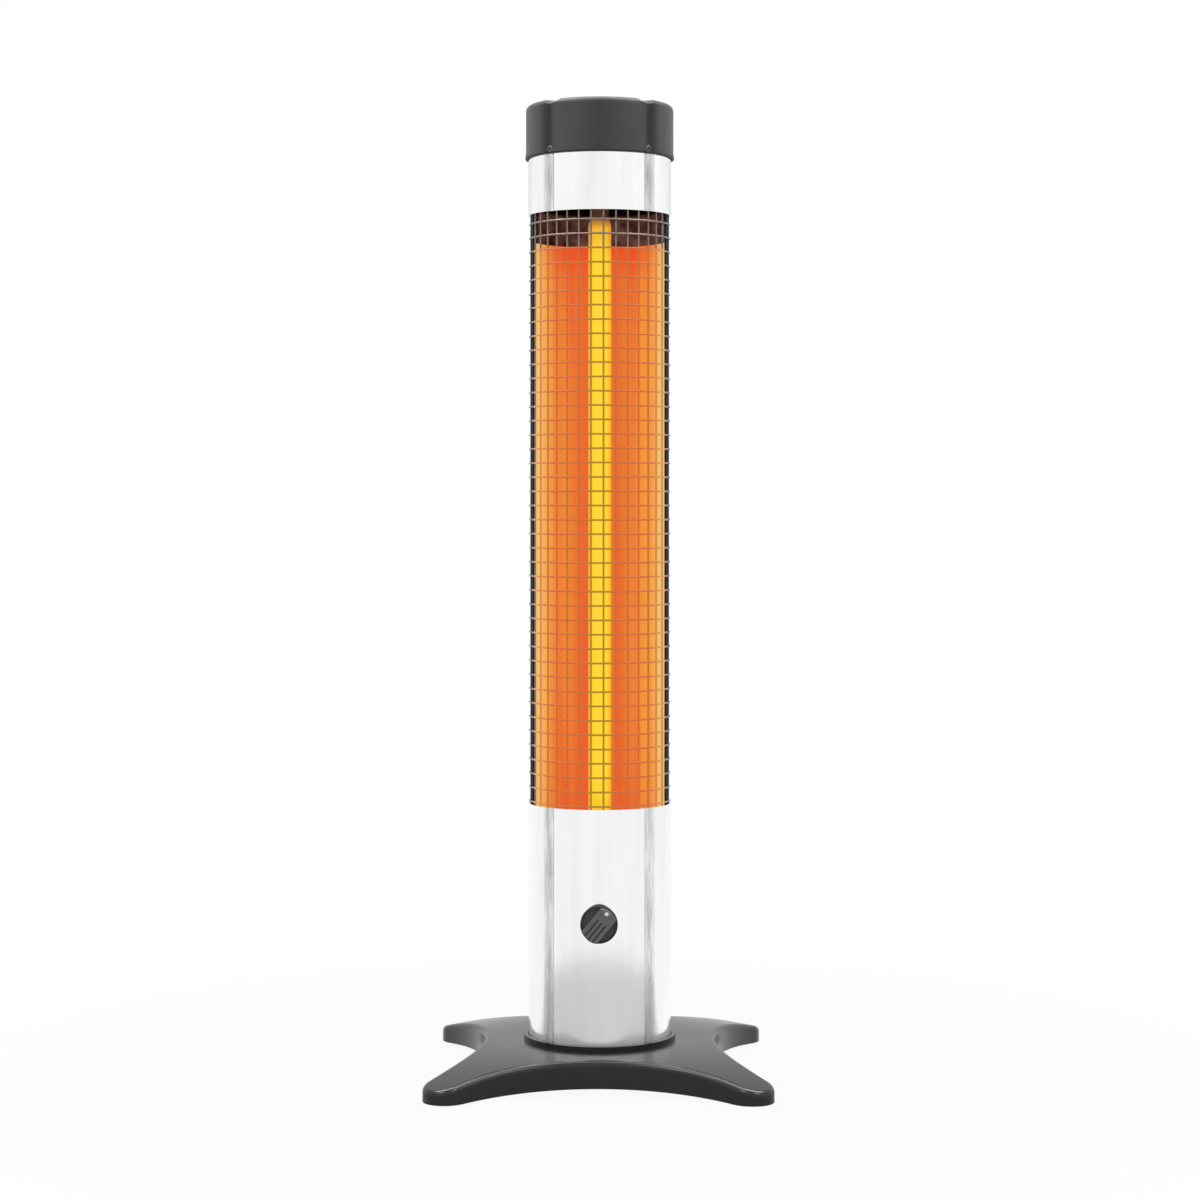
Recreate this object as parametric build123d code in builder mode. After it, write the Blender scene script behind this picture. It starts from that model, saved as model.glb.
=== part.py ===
"""Free-standing radiant tower heater: a round column on a four-legged base, with one glowing
quartz tube behind a wire guard, a rotary power switch and a tip-over switch in the foot.

Millimetres. +Z is up, -Y is the front, and the origin is on the floor under the column's axis."""

from build123d import *
import os
from math import acos, asin, atan, cos, degrees, radians, sin, sqrt

# Base
foot_reach = 146.0  # from the axis to the outer side of a foot, along X or Y
foot_round = 19.0  # radius of a foot's rounded end
waist_half_width = 101.5  # from the axis to the middle of a concave side
deck_height = 29.5  # top of the flat middle of the base, above the floor
deck_radius = 77.0  # the top falls away outside this radius
foot_top_height = 11.5  # top of the base at the end of a foot
base_wall = 2.6
base_roof = 3.0
base_edge_round = 5.0
arch_rise = 6.6  # how far the underside rises from a foot to the middle
rib_thickness = 2.2
rib_bite = 0.6  # how far the ribs sink into the walls and the roof
collar_height = 4.0
collar_wall = 3.4
collar_clearance = 0.5

# Rubber foot pads
pad_thickness = 3.0
pad_proud = 1.0  # how far a pad stands below the shell
pad_radius = 12.0
pad_edge = 0.6
pad_stem_radius = 2.6
pad_stem = 6.0
pad_boss_wall = 3.0
pad_gap = 0.1

# Column section
column_radius = 62.5
shell_wall = 1.6
groove_radius = 3.0
groove_depth = 1.3
groove_angle = 41.0  # from straight ahead and from straight behind
groove_lip = 0.8
seam_angle = 103.0  # from straight ahead to the rear housing's edge
seam_gap = 0.3
rail_wall = 1.2
rail_front_angle = 71.0
rail_rear_angle = 102.0
tongue_wall = 1.4
tongue_front_angle = 92.0
tongue_rear_angle = 106.0
layer_gap = 0.1
port_radius = 3.5
port_angles = (65.0, 20.0)  # from straight behind

# Column heights
end_plate_flange = 3.0
lower_cover_height = 202.5
upper_cover_height = 64.0

# End plates
spigot_wall = 2.0
spigot_height = 8.0
spigot_gap = 0.3
fin_thickness = 2.0
fin_angles = (0.0, 26.0, -26.0)  # from straight ahead

# Top cap
cap_height = 49.0
cap_overlap = 14.5
cap_clearance = 0.3
cap_wall = 1.8
cap_rim_proud = 0.5
cap_rim_height = 3.5
cap_edge_round = 5.0
cap_crown = 2.5
cap_roof = 2.5
cap_screw_rise = 3.5  # above the cap's lower edge
cap_screw_length = 8.0
cap_post_radius = 4.0
cap_post_circle = 40.0
valley_radius = 14.0
valley_depth = 4.0
valley_length = 46.0

# Wire guard
wire_radius = 0.8
wire_pitch = 12.25  # between crosswise wires
first_wire_margin = 2.6  # above the window's lower edge
uprights_per_groove = 4  # upright wires between straight ahead and a groove
upright_shift = -1.5  # degrees, towards the left as seen from the front
upright_count = 14
cross_wire_angle = 83.0
band_width = 12.0
band_inset = 3.0
band_wall = 1.1
band_angle = 79.5
weld_gap = 0.05

# Reflector, baffles and heat shield
reflector_wall = 0.8
reflector_edge_angle = 80.5  # from straight ahead
reflector_half_widths = (45.5, 28.0, 11.0)
reflector_setbacks = (12.0, 29.0, 36.5)  # behind the axis, at those half widths
reflector_overlap = 12.0  # how far it runs below the window's lower edge
reflector_stop = 24.0  # how far below the window's upper edge it ends
reflector_bend = 2.0
baffle_wall = 1.2
baffle_gap = 0.3
upper_baffle_rise = 14.0  # above the window's upper edge
ear_height = 12.0
ear_front_angle = 81.0
ear_rear_angle = 90.0
shield_wall = 1.0
shield_half_angle = 87.5  # from straight behind
shield_skirt = 57.0  # how far the heat shield runs below the lower baffle

# Quartz tube and its ceramic ends
tube_setback = 10.0  # behind the column's axis
tube_radius = 10.0
tube_wall = 1.5
tube_shoulder = 7.0
tube_length = 540.0  # without its necks
tube_top_margin = 1.5  # below the window's upper edge
tube_below_window = 28.5  # how much of the tube lies below the window's lower edge
tube_clearance = 1.5
neck_radius = 6.5
neck_length = 10.0
neck_gap = 0.1
ceramic_radius = 8.0
ceramic_length = 30.0
ceramic_edge = 0.8
ceramic_groove_depth = 1.0
ceramic_groove_inset = 6.0  # from the ceramic's outer end
ribbon_width = 6.0
ribbon_thickness = 0.6
ribbon_margin = 8.0  # from the tube's shoulders
pin_radius = 1.0
pin_depth = 6.0  # how far a pin stands into a ceramic end
bracket_wall = 1.5
bracket_width = 26.0
bracket_front = 12.0  # from the tube's axis to the bracket's free edge
bracket_back = 20.0
bracket_lip = 11.0
bracket_gap = 0.1

# Knob
knob_height = 138.0
knob_radius = 16.0
knob_gap = 1.5
knob_skirt = 5.5
knob_depth = 14.0
knob_grip_width = 16.8
knob_grip_reach = 15.0
knob_rim = 1.6
knob_scoop = 1.6
knob_round = 0.8
knob_angle = 40.0  # clockwise from upright, seen from the front
flute_count = 3
flute_pitch = 4.1
flute_width = 1.3
flute_depth = 1.0
flute_length = 19.0
marker_radius = 1.7
marker_reach = 12.4
marker_offset = -1.8  # across the grip from its middle line
marker_sink = 1.0

# Rotary switch
shaft_radius = 3.0
shaft_flat = 0.8
shaft_clearance = 0.08
shaft_knob_depth = 9.0  # how far the shaft reaches into the knob
shaft_switch_depth = 5.0  # how far it reaches into the switch
switch_width = 30.0
switch_tall = 32.0
switch_depth = 20.0
switch_setback = 9.0  # from the front cover's inner face to the switch plate
switch_tab_angle = 20.0  # from straight ahead
bushing_radius = 4.7
bushing_length = 7.0
bushing_gap = 0.1
shaft_hole_radius = 5.0
wall_plate = 1.2
wall_plate_tall = 40.0
nut_radius = 7.5
nut_thickness = 2.2

# Tip-over switch
plunger_radius = 4.7
plunger_travel = 8.0
plunger_stop_gap = 0.3
plunger_collar_radius = 7.0
plunger_collar = 2.0
plunger_rod = 2.5
plunger_clearance = 0.5
plunger_round = 1.2
tower_wall = 2.0
tower_height = 25.5
tower_roof = 2.0
spring_radius = 5.4
spring_wire = 0.45
spring_turns = 6
spring_gap = 0.1
micro_width = 28.0
micro_depth = 10.0
micro_tall = 16.0
micro_button_radius = 2.0
micro_button = 1.6
micro_screw_half_spacing = 9.5
micro_screw_length = 12.5
micro_wall = 2.5

# Screws
screw_radius = 1.5
screw_head_radius = 3.1
screw_head = 1.9
screw_hole_gap = 0.05
base_screw_radius = 2.0
base_screw_head_radius = 3.8
base_screw_head = 2.3
socket_depth = 0.9
cover_screw_angle = 97.0  # from straight ahead
cover_screw_length = 7.0
lower_cover_screw_rises = (28.0, 178.0)  # above the column's lower end
upper_cover_screw_rise = 20.0  # above the window's upper edge
end_screw_length = 16.0
base_screw_length = 10.0
column_screw_length = 14.0

# Base plate under the deck
plate_radius = 75.0
plate_wall = 1.6
plate_drop = 13.5  # from the deck's underside to the plate
plate_gap = 0.4
plate_screw_circle = 64.0
column_screw_circle = 44.0
boss_radius = 5.0
boss_height = 12.0

# Cord outlet
gland_height = 62.0
gland_bore = 4.0
gland_neck = 6.0
gland_flange_radius = 9.0
gland_flange = 3.0
gland_tail = 11.0
gland_nut = 4.0
gland_nut_radius = 9.5

# Terminals, thermal cutout, vents and leads
terminal_height = 120.0
terminal_width = 36.0
terminal_depth = 13.0
terminal_tall = 18.0
terminal_pitch = 11.0
terminal_setback = 11.0  # from the rear housing's inner face to the terminal plate
terminal_tab_angle = 26.0  # from straight behind
terminal_bore = 1.6
terminal_screw_radius = 2.2
terminal_screw_sink = 3.0
earth_screw_offset = 25.0
earth_screw_rise = 14.0  # above the middle of the terminal plate
cutout_rise = 25.2  # above the heat shield's lower edge
cutout_radius = 8.0
cutout_depth = 9.0
cutout_tab = 4.0
vent_width = 26.0
vent_tall = 3.0
vent_pitch = 7.0
vent_rows = 6
upper_vent_rise = 17.0  # from the window's upper edge up to the middle of the upper vents
lower_vent_drop = 65.0  # from the window's lower edge down to the middle of the lower vents
lead_radius = 1.3
lead_bend = 6.0
lead_run = 16.0  # straight run out of a terminal before the first bend
lead_shelf_drop = 21.5  # below the lower ceramic end, where the leads cross the lower compartment
top_lead_rise = 13.0  # above the upper ceramic end

# Heights that follow
plate_seat = deck_height + end_plate_flange  # underside of the column's shells
window_height = tube_length - tube_below_window + tube_top_margin
window_bottom = plate_seat + lower_cover_height
window_top = window_bottom + window_height
column_top = window_top + upper_cover_height
cap_bottom = column_top - cap_overlap
cap_top = cap_bottom + cap_height
deck_underside = deck_height - base_roof
plate_top = deck_underside - plate_drop
lower_baffle_top = window_bottom - reflector_overlap
lower_baffle_base = lower_baffle_top - baffle_wall
upper_baffle_base = window_top + upper_baffle_rise
tube_top = window_top - tube_top_margin
tube_bottom = tube_top - tube_length
tube_middle = (tube_top + tube_bottom) / 2
shield_base = lower_baffle_base - shield_skirt
cutout_height = shield_base + cutout_rise
upper_vent_height = window_top + upper_vent_rise
lower_vent_height = window_bottom - lower_vent_drop
lead_shelf = tube_bottom - ceramic_length - lead_shelf_drop

# Radii that follow, from the outside of the column inwards
shell_inner = column_radius - shell_wall
groove_floor = column_radius - groove_depth
rail_outer = shell_inner - layer_gap
rail_inner = rail_outer - rail_wall
tongue_outer = rail_inner - layer_gap
tongue_inner = tongue_outer - tongue_wall
core_radius = tongue_inner - baffle_gap
port_circle = shell_inner - port_radius + layer_gap
port_bore = screw_radius + screw_hole_gap
liner_outer = port_circle - port_radius - layer_gap
liner_inner = liner_outer - shield_wall
cross_wire_circle = rail_outer + weld_gap + wire_radius
upright_circle = cross_wire_circle - 2 * wire_radius - weld_gap
band_outer = upright_circle - wire_radius - weld_gap
foot_centre = foot_reach - foot_round
diagonal_reach = sqrt(2) * foot_centre

FRONT = -90.0  # polar angle of straight ahead
BACK = 90.0
groove_polar = [FRONT - groove_angle, FRONT + groove_angle, BACK - groove_angle, BACK + groove_angle]
port_polar = [BACK + side * angle for angle in port_angles for side in (-1, 1)]
foot_signs = {"front_left": (-1, -1), "front_right": (1, -1), "rear_left": (-1, 1), "rear_right": (1, 1)}
foot_spots = [(sx * foot_centre, sy * foot_centre) for sx, sy in foot_signs.values()]


def polar(radius, angle, z=0.0):
    """A point at a polar angle in degrees."""
    return (radius * cos(radians(angle)), radius * sin(radians(angle)), z)


def lobed_outline(radius, groove, floor):
    """A circle with a round groove, whose floor is at the given radius, at each groove angle."""
    with BuildSketch() as outline:
        Circle(radius)
        with Locations(*[polar(floor + groove, angle) for angle in groove_polar]):
            Circle(groove, mode=Mode.SUBTRACT)
        fillet(outline.vertices(), groove_lip)
    return outline.sketch


def sector(inner, outer, start, sweep):
    """A piece of a ring between two radii and two polar angles."""
    with BuildSketch() as ring:
        with BuildLine():
            far = CenterArc((0, 0), outer, start, sweep)
            near = CenterArc((0, 0), inner, start, sweep)
            Line(far @ 0, near @ 0)
            Line(far @ 1, near @ 1)
        make_face()
    return ring.sketch


def base_outline(inset):
    """The four-legged plan: rounded feet on the diagonals joined by four concave arcs."""
    foot = foot_round - inset
    waist = waist_half_width - inset
    reach = foot_centre - waist
    hollow = (foot_centre**2 + reach**2 - foot**2) / (2 * (foot + reach))
    turn = asin(foot_centre / (hollow + foot))
    touch = (hollow * sin(turn), waist + hollow - hollow * cos(turn))
    tip = foot_centre + foot / sqrt(2)
    with BuildSketch() as plan:
        with BuildLine():
            for quarter in range(4):
                spin = Location((0, 0, 0), (0, 0, 90 * quarter))
                side = ThreePointArc((-touch[0], touch[1]), (0, waist), touch, mode=Mode.PRIVATE)
                end = ThreePointArc(touch, (tip, tip), (touch[1], touch[0]), mode=Mode.PRIVATE)
                add(side.moved(spin))
                add(end.moved(spin))
        make_face()
    return plan.sketch


def falling_arc(start, end):
    """The point halfway along an arc that leaves the start level and falls to the end."""
    run = end[0] - start[0]
    fall = start[1] - end[1]
    arc = (run**2 + fall**2) / (2 * fall)
    half = asin(run / arc) / 2
    return (start[0] + arc * sin(half), start[1] - arc * (1 - cos(half)))


def outward(radius, angle, z):
    """A plane whose normal points out from the axis at this angle and height."""
    direction = (cos(radians(angle)), sin(radians(angle)), 0)
    return Plane(origin=polar(radius, angle, z), x_dir=(0, 0, 1), z_dir=direction)


def cross_slot(head_radius, shank):
    """The cross on a screw's head."""
    with BuildSketch() as cross:
        Rectangle(head_radius * 1.2, shank * 0.42)
        Rectangle(shank * 0.42, head_radius * 1.2)
    return cross.sketch


def pan_screw(plane, length, shank, head_radius, head):
    """A pan-head screw. The plane lies under the head, and its normal points out of the work."""
    slot = cross_slot(head_radius, shank)
    with BuildPart() as body:
        with BuildSketch(plane):
            Circle(head_radius)
        extrude(amount=head)
        top = body.faces().sort_by(Axis(plane.origin, plane.z_dir))[-1]
        fillet(top.edges(), head * 0.45)
        with BuildSketch(plane.offset(head)):
            add(slot)
        extrude(amount=-socket_depth, mode=Mode.SUBTRACT)
        with BuildSketch(plane):
            Circle(shank)
        extrude(amount=-length)
    return body.part


def cone_and_shank(plane, length, gap):
    """A countersunk screw's shape, or with a gap the hole for it."""
    cone = screw_head_radius - screw_radius
    with BuildPart() as body:
        with BuildSketch(plane):
            Circle(screw_head_radius + gap)
        with BuildSketch(plane.offset(-cone)):
            Circle(screw_radius + gap)
        loft()
        with BuildSketch(plane.offset(-cone)):
            Circle(screw_radius + gap)
        extrude(amount=cone - length)
    return body.part


def sunk_screw(plane, length):
    """A countersunk screw. The plane is level with the head's top, and its normal points out."""
    slot = cross_slot(screw_head_radius, screw_radius)
    blank = cone_and_shank(plane, length, 0)
    with BuildPart() as body:
        add(blank)
        with BuildSketch(plane):
            add(slot)
        extrude(amount=-socket_depth, mode=Mode.SUBTRACT)
    return body.part


outer_outline = lobed_outline(column_radius, groove_radius, groove_floor)
inner_outline = lobed_outline(shell_inner, groove_radius + shell_wall, groove_floor - shell_wall)


# Base cover

def base_crown(drop):
    """The revolved upper bound of the base: flat in the middle, falling away to the feet."""
    start = (deck_radius, deck_height - drop)
    end = (diagonal_reach + 1.1 * foot_round, foot_top_height - drop)
    with BuildPart() as crown:
        with BuildSketch(Plane.XZ):
            with BuildLine():
                Polyline(end, (end[0], -deck_height), (0, -deck_height), (0, start[1]), start)
                ThreePointArc(start, falling_arc(start, end), end)
            make_face()
        revolve(axis=Axis.Z)
    return crown.part


def base_space(inset, drop):
    """The room inside the base, this far in from its walls and down from its top."""
    plan = base_outline(inset)
    crown = base_crown(drop)
    with BuildPart() as space:
        add(crown)
        with BuildSketch(Plane.XY.offset(-deck_height)):
            add(plan)
        extrude(amount=2 * deck_height, mode=Mode.INTERSECT)
    return space.part


collar_inner = lobed_outline(column_radius + collar_clearance, groove_radius - collar_clearance,
                             groove_floor + collar_clearance)
collar_outer = lobed_outline(column_radius + collar_clearance + collar_wall,
                             groove_radius - collar_clearance, groove_floor + collar_clearance + collar_wall)
base_body = base_outline(0)
outer_crown = base_crown(0)
base_hollow = base_space(base_wall, base_roof)
rib_space = base_space(base_wall - rib_bite, base_roof - rib_bite)
plate_ring = plate_radius + plate_gap
base_screw_hole = base_screw_radius + screw_hole_gap
plunger_bore = plunger_radius + plunger_clearance
column_screw_spots = [polar(column_screw_circle, 45 + 90 * turn) for turn in range(4)]
plate_screw_spots = [polar(plate_screw_circle, 90 * turn) for turn in range(4)]
arch_start = (0, pad_proud + arch_rise)
arch_end = (diagonal_reach, pad_proud)

with BuildPart() as underside_arch:
    with BuildSketch(Plane.XZ):
        with BuildLine():
            Polyline(arch_end, (2 * diagonal_reach, pad_proud), (2 * diagonal_reach, -deck_height),
                     (0, -deck_height), arch_start)
            ThreePointArc(arch_start, falling_arc(arch_start, arch_end), arch_end)
        make_face()
    revolve(axis=Axis.Z)

with BuildPart() as base_inside:
    with BuildSketch():
        for turn in (45, 135):
            with Locations(Rot(0, 0, turn)):
                Rectangle(2 * diagonal_reach, rib_thickness)
        Circle(plate_ring + rib_thickness)
        Circle(plate_ring, mode=Mode.SUBTRACT)
    extrude(amount=deck_height)
    with BuildSketch(Plane.XY.offset(plate_top)):
        Circle(plate_ring)
    extrude(amount=-deck_height, mode=Mode.SUBTRACT)
    with BuildSketch():
        Circle(column_screw_circle + base_screw_head_radius + rib_thickness)
    extrude(amount=deck_height, mode=Mode.SUBTRACT)
    with BuildSketch(Plane.XY.offset(plate_top)):
        with Locations(*plate_screw_spots):
            Circle(boss_radius)
    extrude(amount=deck_height - plate_top)
    with BuildSketch():
        with Locations(*foot_spots):
            Circle(pad_radius + pad_boss_wall)
    extrude(amount=deck_height)
    add(rib_space, mode=Mode.INTERSECT)

with BuildPart() as base_cover:
    with BuildSketch():
        add(base_body)
    extrude(amount=deck_height + base_roof)
    add(outer_crown, mode=Mode.INTERSECT)
    walls = base_cover.faces().filter_by(GeomType.CYLINDER)
    rim = walls.edges().filter_by(GeomType.LINE, reverse=True).filter_by(
        lambda edge: edge.center().Z > foot_top_height / 2)
    fillet(rim, base_edge_round)
    add(base_hollow, mode=Mode.SUBTRACT)
    add(base_inside.part)
    add(underside_arch.part, mode=Mode.SUBTRACT)
    with BuildSketch(Plane.XY.offset(deck_height)):
        add(collar_outer)
        add(collar_inner, mode=Mode.SUBTRACT)
    extrude(amount=collar_height)
    with Locations((0, 0, deck_height)):
        Hole(plunger_bore)
    with Locations(*[(x, y, deck_height) for x, y, _ in column_screw_spots]):
        Hole(base_screw_hole)
    with Locations(*[(x, y, 0) for x, y, _ in plate_screw_spots]):
        Hole(base_screw_hole, depth=deck_underside - base_roof)
    with Locations(*[(x, y, 0) for x, y in foot_spots]):
        Hole(pad_radius + pad_gap, depth=pad_thickness)
        Hole(pad_stem_radius + pad_gap, depth=pad_thickness + pad_stem + pad_gap)


# Rubber foot pads

foot_pads = {}
for corner, (side_x, side_y) in foot_signs.items():
    with BuildPart() as foot_pad:
        with BuildSketch():
            with Locations((side_x * foot_centre, side_y * foot_centre)):
                Circle(pad_radius)
        extrude(amount=pad_thickness)
        chamfer(foot_pad.edges().group_by(Axis.Z)[0], pad_edge)
        with BuildSketch(Plane.XY.offset(pad_thickness)):
            with Locations((side_x * foot_centre, side_y * foot_centre)):
                Circle(pad_stem_radius)
        extrude(amount=pad_stem)
    foot_pads[corner] = foot_pad


# Base plate and the screws of the base

with BuildPart() as base_plate:
    with BuildSketch(Plane.XY.offset(plate_top - plate_wall)):
        Circle(plate_radius)
        Circle(plunger_bore, mode=Mode.SUBTRACT)
        with Locations(*plate_screw_spots):
            Circle(base_screw_hole, mode=Mode.SUBTRACT)
    extrude(amount=plate_wall)

with BuildPart() as base_plate_screws:
    for x, y, _ in plate_screw_spots:
        seat = Plane(origin=(x, y, plate_top - plate_wall), z_dir=(0, 0, -1))
        add(pan_screw(seat, base_screw_length, base_screw_radius, base_screw_head_radius, base_screw_head))

with BuildPart() as column_screws:
    for x, y, _ in column_screw_spots:
        seat = Plane(origin=(x, y, deck_underside), z_dir=(0, 0, -1))
        add(pan_screw(seat, column_screw_length, base_screw_radius, base_screw_head_radius,
                      base_screw_head))


# Column shells

def shell_section(half_angle, middle):
    """The part of the column's wall within an angle of a direction."""
    wedge = sector(column_radius / 2, 2 * column_radius, middle - half_angle, 2 * half_angle)
    with BuildSketch() as section:
        add(outer_outline)
        add(inner_outline, mode=Mode.SUBTRACT)
        add(wedge, mode=Mode.INTERSECT)
    return section.sketch


cover_section = shell_section(seam_angle - degrees(seam_gap / column_radius), FRONT)
rear_section = shell_section(180 - seam_angle, BACK)
tongue_sweep = tongue_rear_angle - tongue_front_angle
web_sweep = tongue_rear_angle - seam_angle
web_outer = column_radius - shell_wall / 2
tongues = [sector(tongue_inner, tongue_outer, FRONT + tongue_front_angle, tongue_sweep),
           sector(tongue_inner, tongue_outer, FRONT - tongue_rear_angle, tongue_sweep),
           sector(tongue_inner, web_outer, FRONT + seam_angle, web_sweep),
           sector(tongue_inner, web_outer, FRONT - tongue_rear_angle, web_sweep)]
cover_screw_heights = [plate_seat + rise for rise in lower_cover_screw_rises]
cover_screw_heights += [window_top + upper_cover_screw_rise]
cover_screw_planes = [outward(column_radius, FRONT + side * cover_screw_angle, height)
                      for height in cover_screw_heights for side in (-1, 1)]
cap_inner_groove = groove_floor + cap_clearance
cap_outer_groove = cap_inner_groove + cap_wall
cap_screw_planes = [outward(cap_outer_groove, angle, cap_bottom + cap_screw_rise) for angle in groove_polar]

with BuildPart() as cover_screw_holes:
    for plane in cover_screw_planes:
        add(cone_and_shank(plane, cover_screw_length + 1, screw_hole_gap))

with BuildPart() as cap_screw_holes:
    for plane in cap_screw_planes:
        with BuildSketch(plane.offset(screw_head)):
            Circle(screw_radius + screw_hole_gap)
        extrude(amount=-cap_screw_length - 2 * screw_head)

with BuildPart() as lower_cover:
    with BuildSketch(Plane.XY.offset(plate_seat)):
        add(cover_section)
    extrude(amount=lower_cover_height)
    with BuildSketch(Plane.XZ):
        with Locations((0, knob_height)):
            Circle(shaft_hole_radius)
    extrude(amount=column_radius + 1, mode=Mode.SUBTRACT)
    add(cover_screw_holes.part, mode=Mode.SUBTRACT)

with BuildPart() as upper_cover:
    with BuildSketch(Plane.XY.offset(window_top)):
        add(cover_section)
    extrude(amount=upper_cover_height)
    add(cover_screw_holes.part, mode=Mode.SUBTRACT)
    add(cap_screw_holes.part, mode=Mode.SUBTRACT)

with BuildPart() as rear_housing:
    with BuildSketch(Plane.XY.offset(plate_seat)):
        add(rear_section)
        for tongue in tongues:
            add(tongue)
        with Locations(*[polar(port_circle, angle) for angle in port_polar]):
            Circle(port_radius)
            Circle(port_bore, mode=Mode.SUBTRACT)
    extrude(amount=column_top - plate_seat)
    with BuildSketch(Plane.XZ):
        for height in (lower_vent_height, upper_vent_height):
            with Locations((0, height)):
                with GridLocations(0, vent_pitch, 1, vent_rows):
                    SlotOverall(vent_width, vent_tall)
        with Locations((0, gland_height)):
            Circle(gland_neck + bushing_gap)
    extrude(amount=-column_radius - 1, mode=Mode.SUBTRACT)
    add(cover_screw_holes.part, mode=Mode.SUBTRACT)
    add(cap_screw_holes.part, mode=Mode.SUBTRACT)

with BuildPart() as cover_screws:
    for plane in cover_screw_planes:
        add(sunk_screw(plane, cover_screw_length))


# Side rails

side_rails = {}
for side, start in (("left", FRONT - rail_rear_angle), ("right", FRONT + rail_front_angle)):
    rail_section = sector(rail_inner, rail_outer, start, rail_rear_angle - rail_front_angle)
    with BuildPart() as side_rail:
        with BuildSketch(Plane.XY.offset(plate_seat)):
            add(rail_section)
        extrude(amount=column_top - plate_seat)
        add(cover_screw_holes.part, mode=Mode.SUBTRACT)
    side_rails[side] = side_rail


# End plates of the column, and the tower that guides the tip-over plunger

end_screw_spots = [polar(port_circle, angle) for angle in port_polar]
spigot_outer = liner_outer - spigot_gap
fin_outer = shell_inner - spigot_gap
tower_inner = plunger_collar_radius + plunger_clearance
tower_top = plate_seat + tower_height
collar_base = plate_seat + plunger_travel + plunger_stop_gap
rod_top = tower_top + plunger_travel + plunger_stop_gap
micro_base = rod_top + micro_button
micro_top = micro_base + micro_tall
micro_middle = (micro_base + micro_top) / 2

with BuildSketch() as spigot_section:
    for angle in fin_angles:
        with Locations(Location(polar((spigot_outer + fin_outer - spigot_wall) / 2, FRONT + angle),
                                (0, 0, FRONT + angle))):
            Rectangle(fin_outer - spigot_outer + spigot_wall, fin_thickness)
    Circle(spigot_outer)
    Circle(spigot_outer - spigot_wall, mode=Mode.SUBTRACT)

with BuildPart() as end_screw_holes:
    for x, y, _ in end_screw_spots:
        below = Plane(origin=(x, y, deck_height), z_dir=(0, 0, -1))
        above = Plane(origin=(x, y, column_top + end_plate_flange), z_dir=(0, 0, 1))
        add(cone_and_shank(below, end_screw_length, screw_hole_gap))
        add(cone_and_shank(above, end_screw_length, screw_hole_gap))

with BuildPart() as lower_end_plate:
    with BuildSketch(Plane.XY.offset(deck_height)):
        add(outer_outline)
    extrude(amount=end_plate_flange)
    with BuildSketch(Plane.XY.offset(plate_seat)):
        add(spigot_section.sketch)
    extrude(amount=spigot_height)
    with BuildSketch(Plane.XY.offset(plate_seat)):
        with Locations(*column_screw_spots):
            Circle(boss_radius)
    extrude(amount=boss_height)
    with BuildSketch(Plane.XY.offset(plate_seat)):
        Circle(tower_inner + tower_wall)
    extrude(amount=tower_height)
    with BuildSketch(Plane.XY.offset(plate_seat)):
        with Locations((0, micro_depth / 2)):
            Rectangle(micro_width, micro_wall, align=(Align.CENTER, Align.MIN))
    extrude(amount=micro_top - plate_seat)
    with BuildSketch(Plane.XY.offset(plate_seat)):
        Circle(tower_inner)
    extrude(amount=tower_height - tower_roof, mode=Mode.SUBTRACT)
    with Locations((0, 0, tower_top)):
        Hole(plunger_rod + plunger_clearance, depth=tower_height)
    with Locations((0, 0, deck_height)):
        Hole(plunger_bore, depth=end_plate_flange)
    with Locations(*[(x, y, deck_height) for x, y, _ in column_screw_spots]):
        Hole(base_screw_hole)
    with BuildSketch(Plane.XZ):
        with Locations((0, micro_middle)):
            with GridLocations(2 * micro_screw_half_spacing, 0, 2, 1):
                Circle(screw_radius + screw_hole_gap)
    extrude(amount=-micro_depth - micro_wall, mode=Mode.SUBTRACT)
    add(end_screw_holes.part, mode=Mode.SUBTRACT)

with BuildPart() as upper_end_plate:
    with BuildSketch(Plane.XY.offset(column_top)):
        add(outer_outline)
    extrude(amount=end_plate_flange)
    with BuildSketch(Plane.XY.offset(column_top)):
        add(spigot_section.sketch)
    extrude(amount=-spigot_height)
    with Locations((0, 0, column_top)):
        Hole(spigot_outer / 3)
    add(end_screw_holes.part, mode=Mode.SUBTRACT)

with BuildPart() as end_plate_screws:
    for x, y, _ in end_screw_spots:
        below = Plane(origin=(x, y, deck_height), z_dir=(0, 0, -1))
        above = Plane(origin=(x, y, column_top + end_plate_flange), z_dir=(0, 0, 1))
        add(sunk_screw(below, end_screw_length))
        add(sunk_screw(above, end_screw_length))


# Tip-over plunger, spring and switch

with BuildPart() as tip_plunger:
    with BuildSketch():
        Circle(plunger_radius)
    extrude(amount=collar_base)
    fillet(tip_plunger.edges().group_by(Axis.Z)[0], plunger_round)
    with BuildSketch(Plane.XY.offset(collar_base)):
        Circle(plunger_collar_radius)
    extrude(amount=plunger_collar)
    with BuildSketch(Plane.XY.offset(collar_base + plunger_collar)):
        Circle(plunger_rod)
    extrude(amount=rod_top - collar_base - plunger_collar)

spring_base = collar_base + plunger_collar + spring_wire + spring_gap
spring_rise = tower_top - tower_roof - spring_wire - spring_gap - spring_base
with BuildPart() as tip_spring:
    with BuildLine():
        Helix(pitch=spring_rise / spring_turns, height=spring_rise, radius=spring_radius,
              center=(0, 0, spring_base))
    with BuildSketch(Plane(origin=(spring_radius, 0, spring_base), z_dir=(0, 1, 0))):
        Circle(spring_wire)
    sweep(is_frenet=True)

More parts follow.
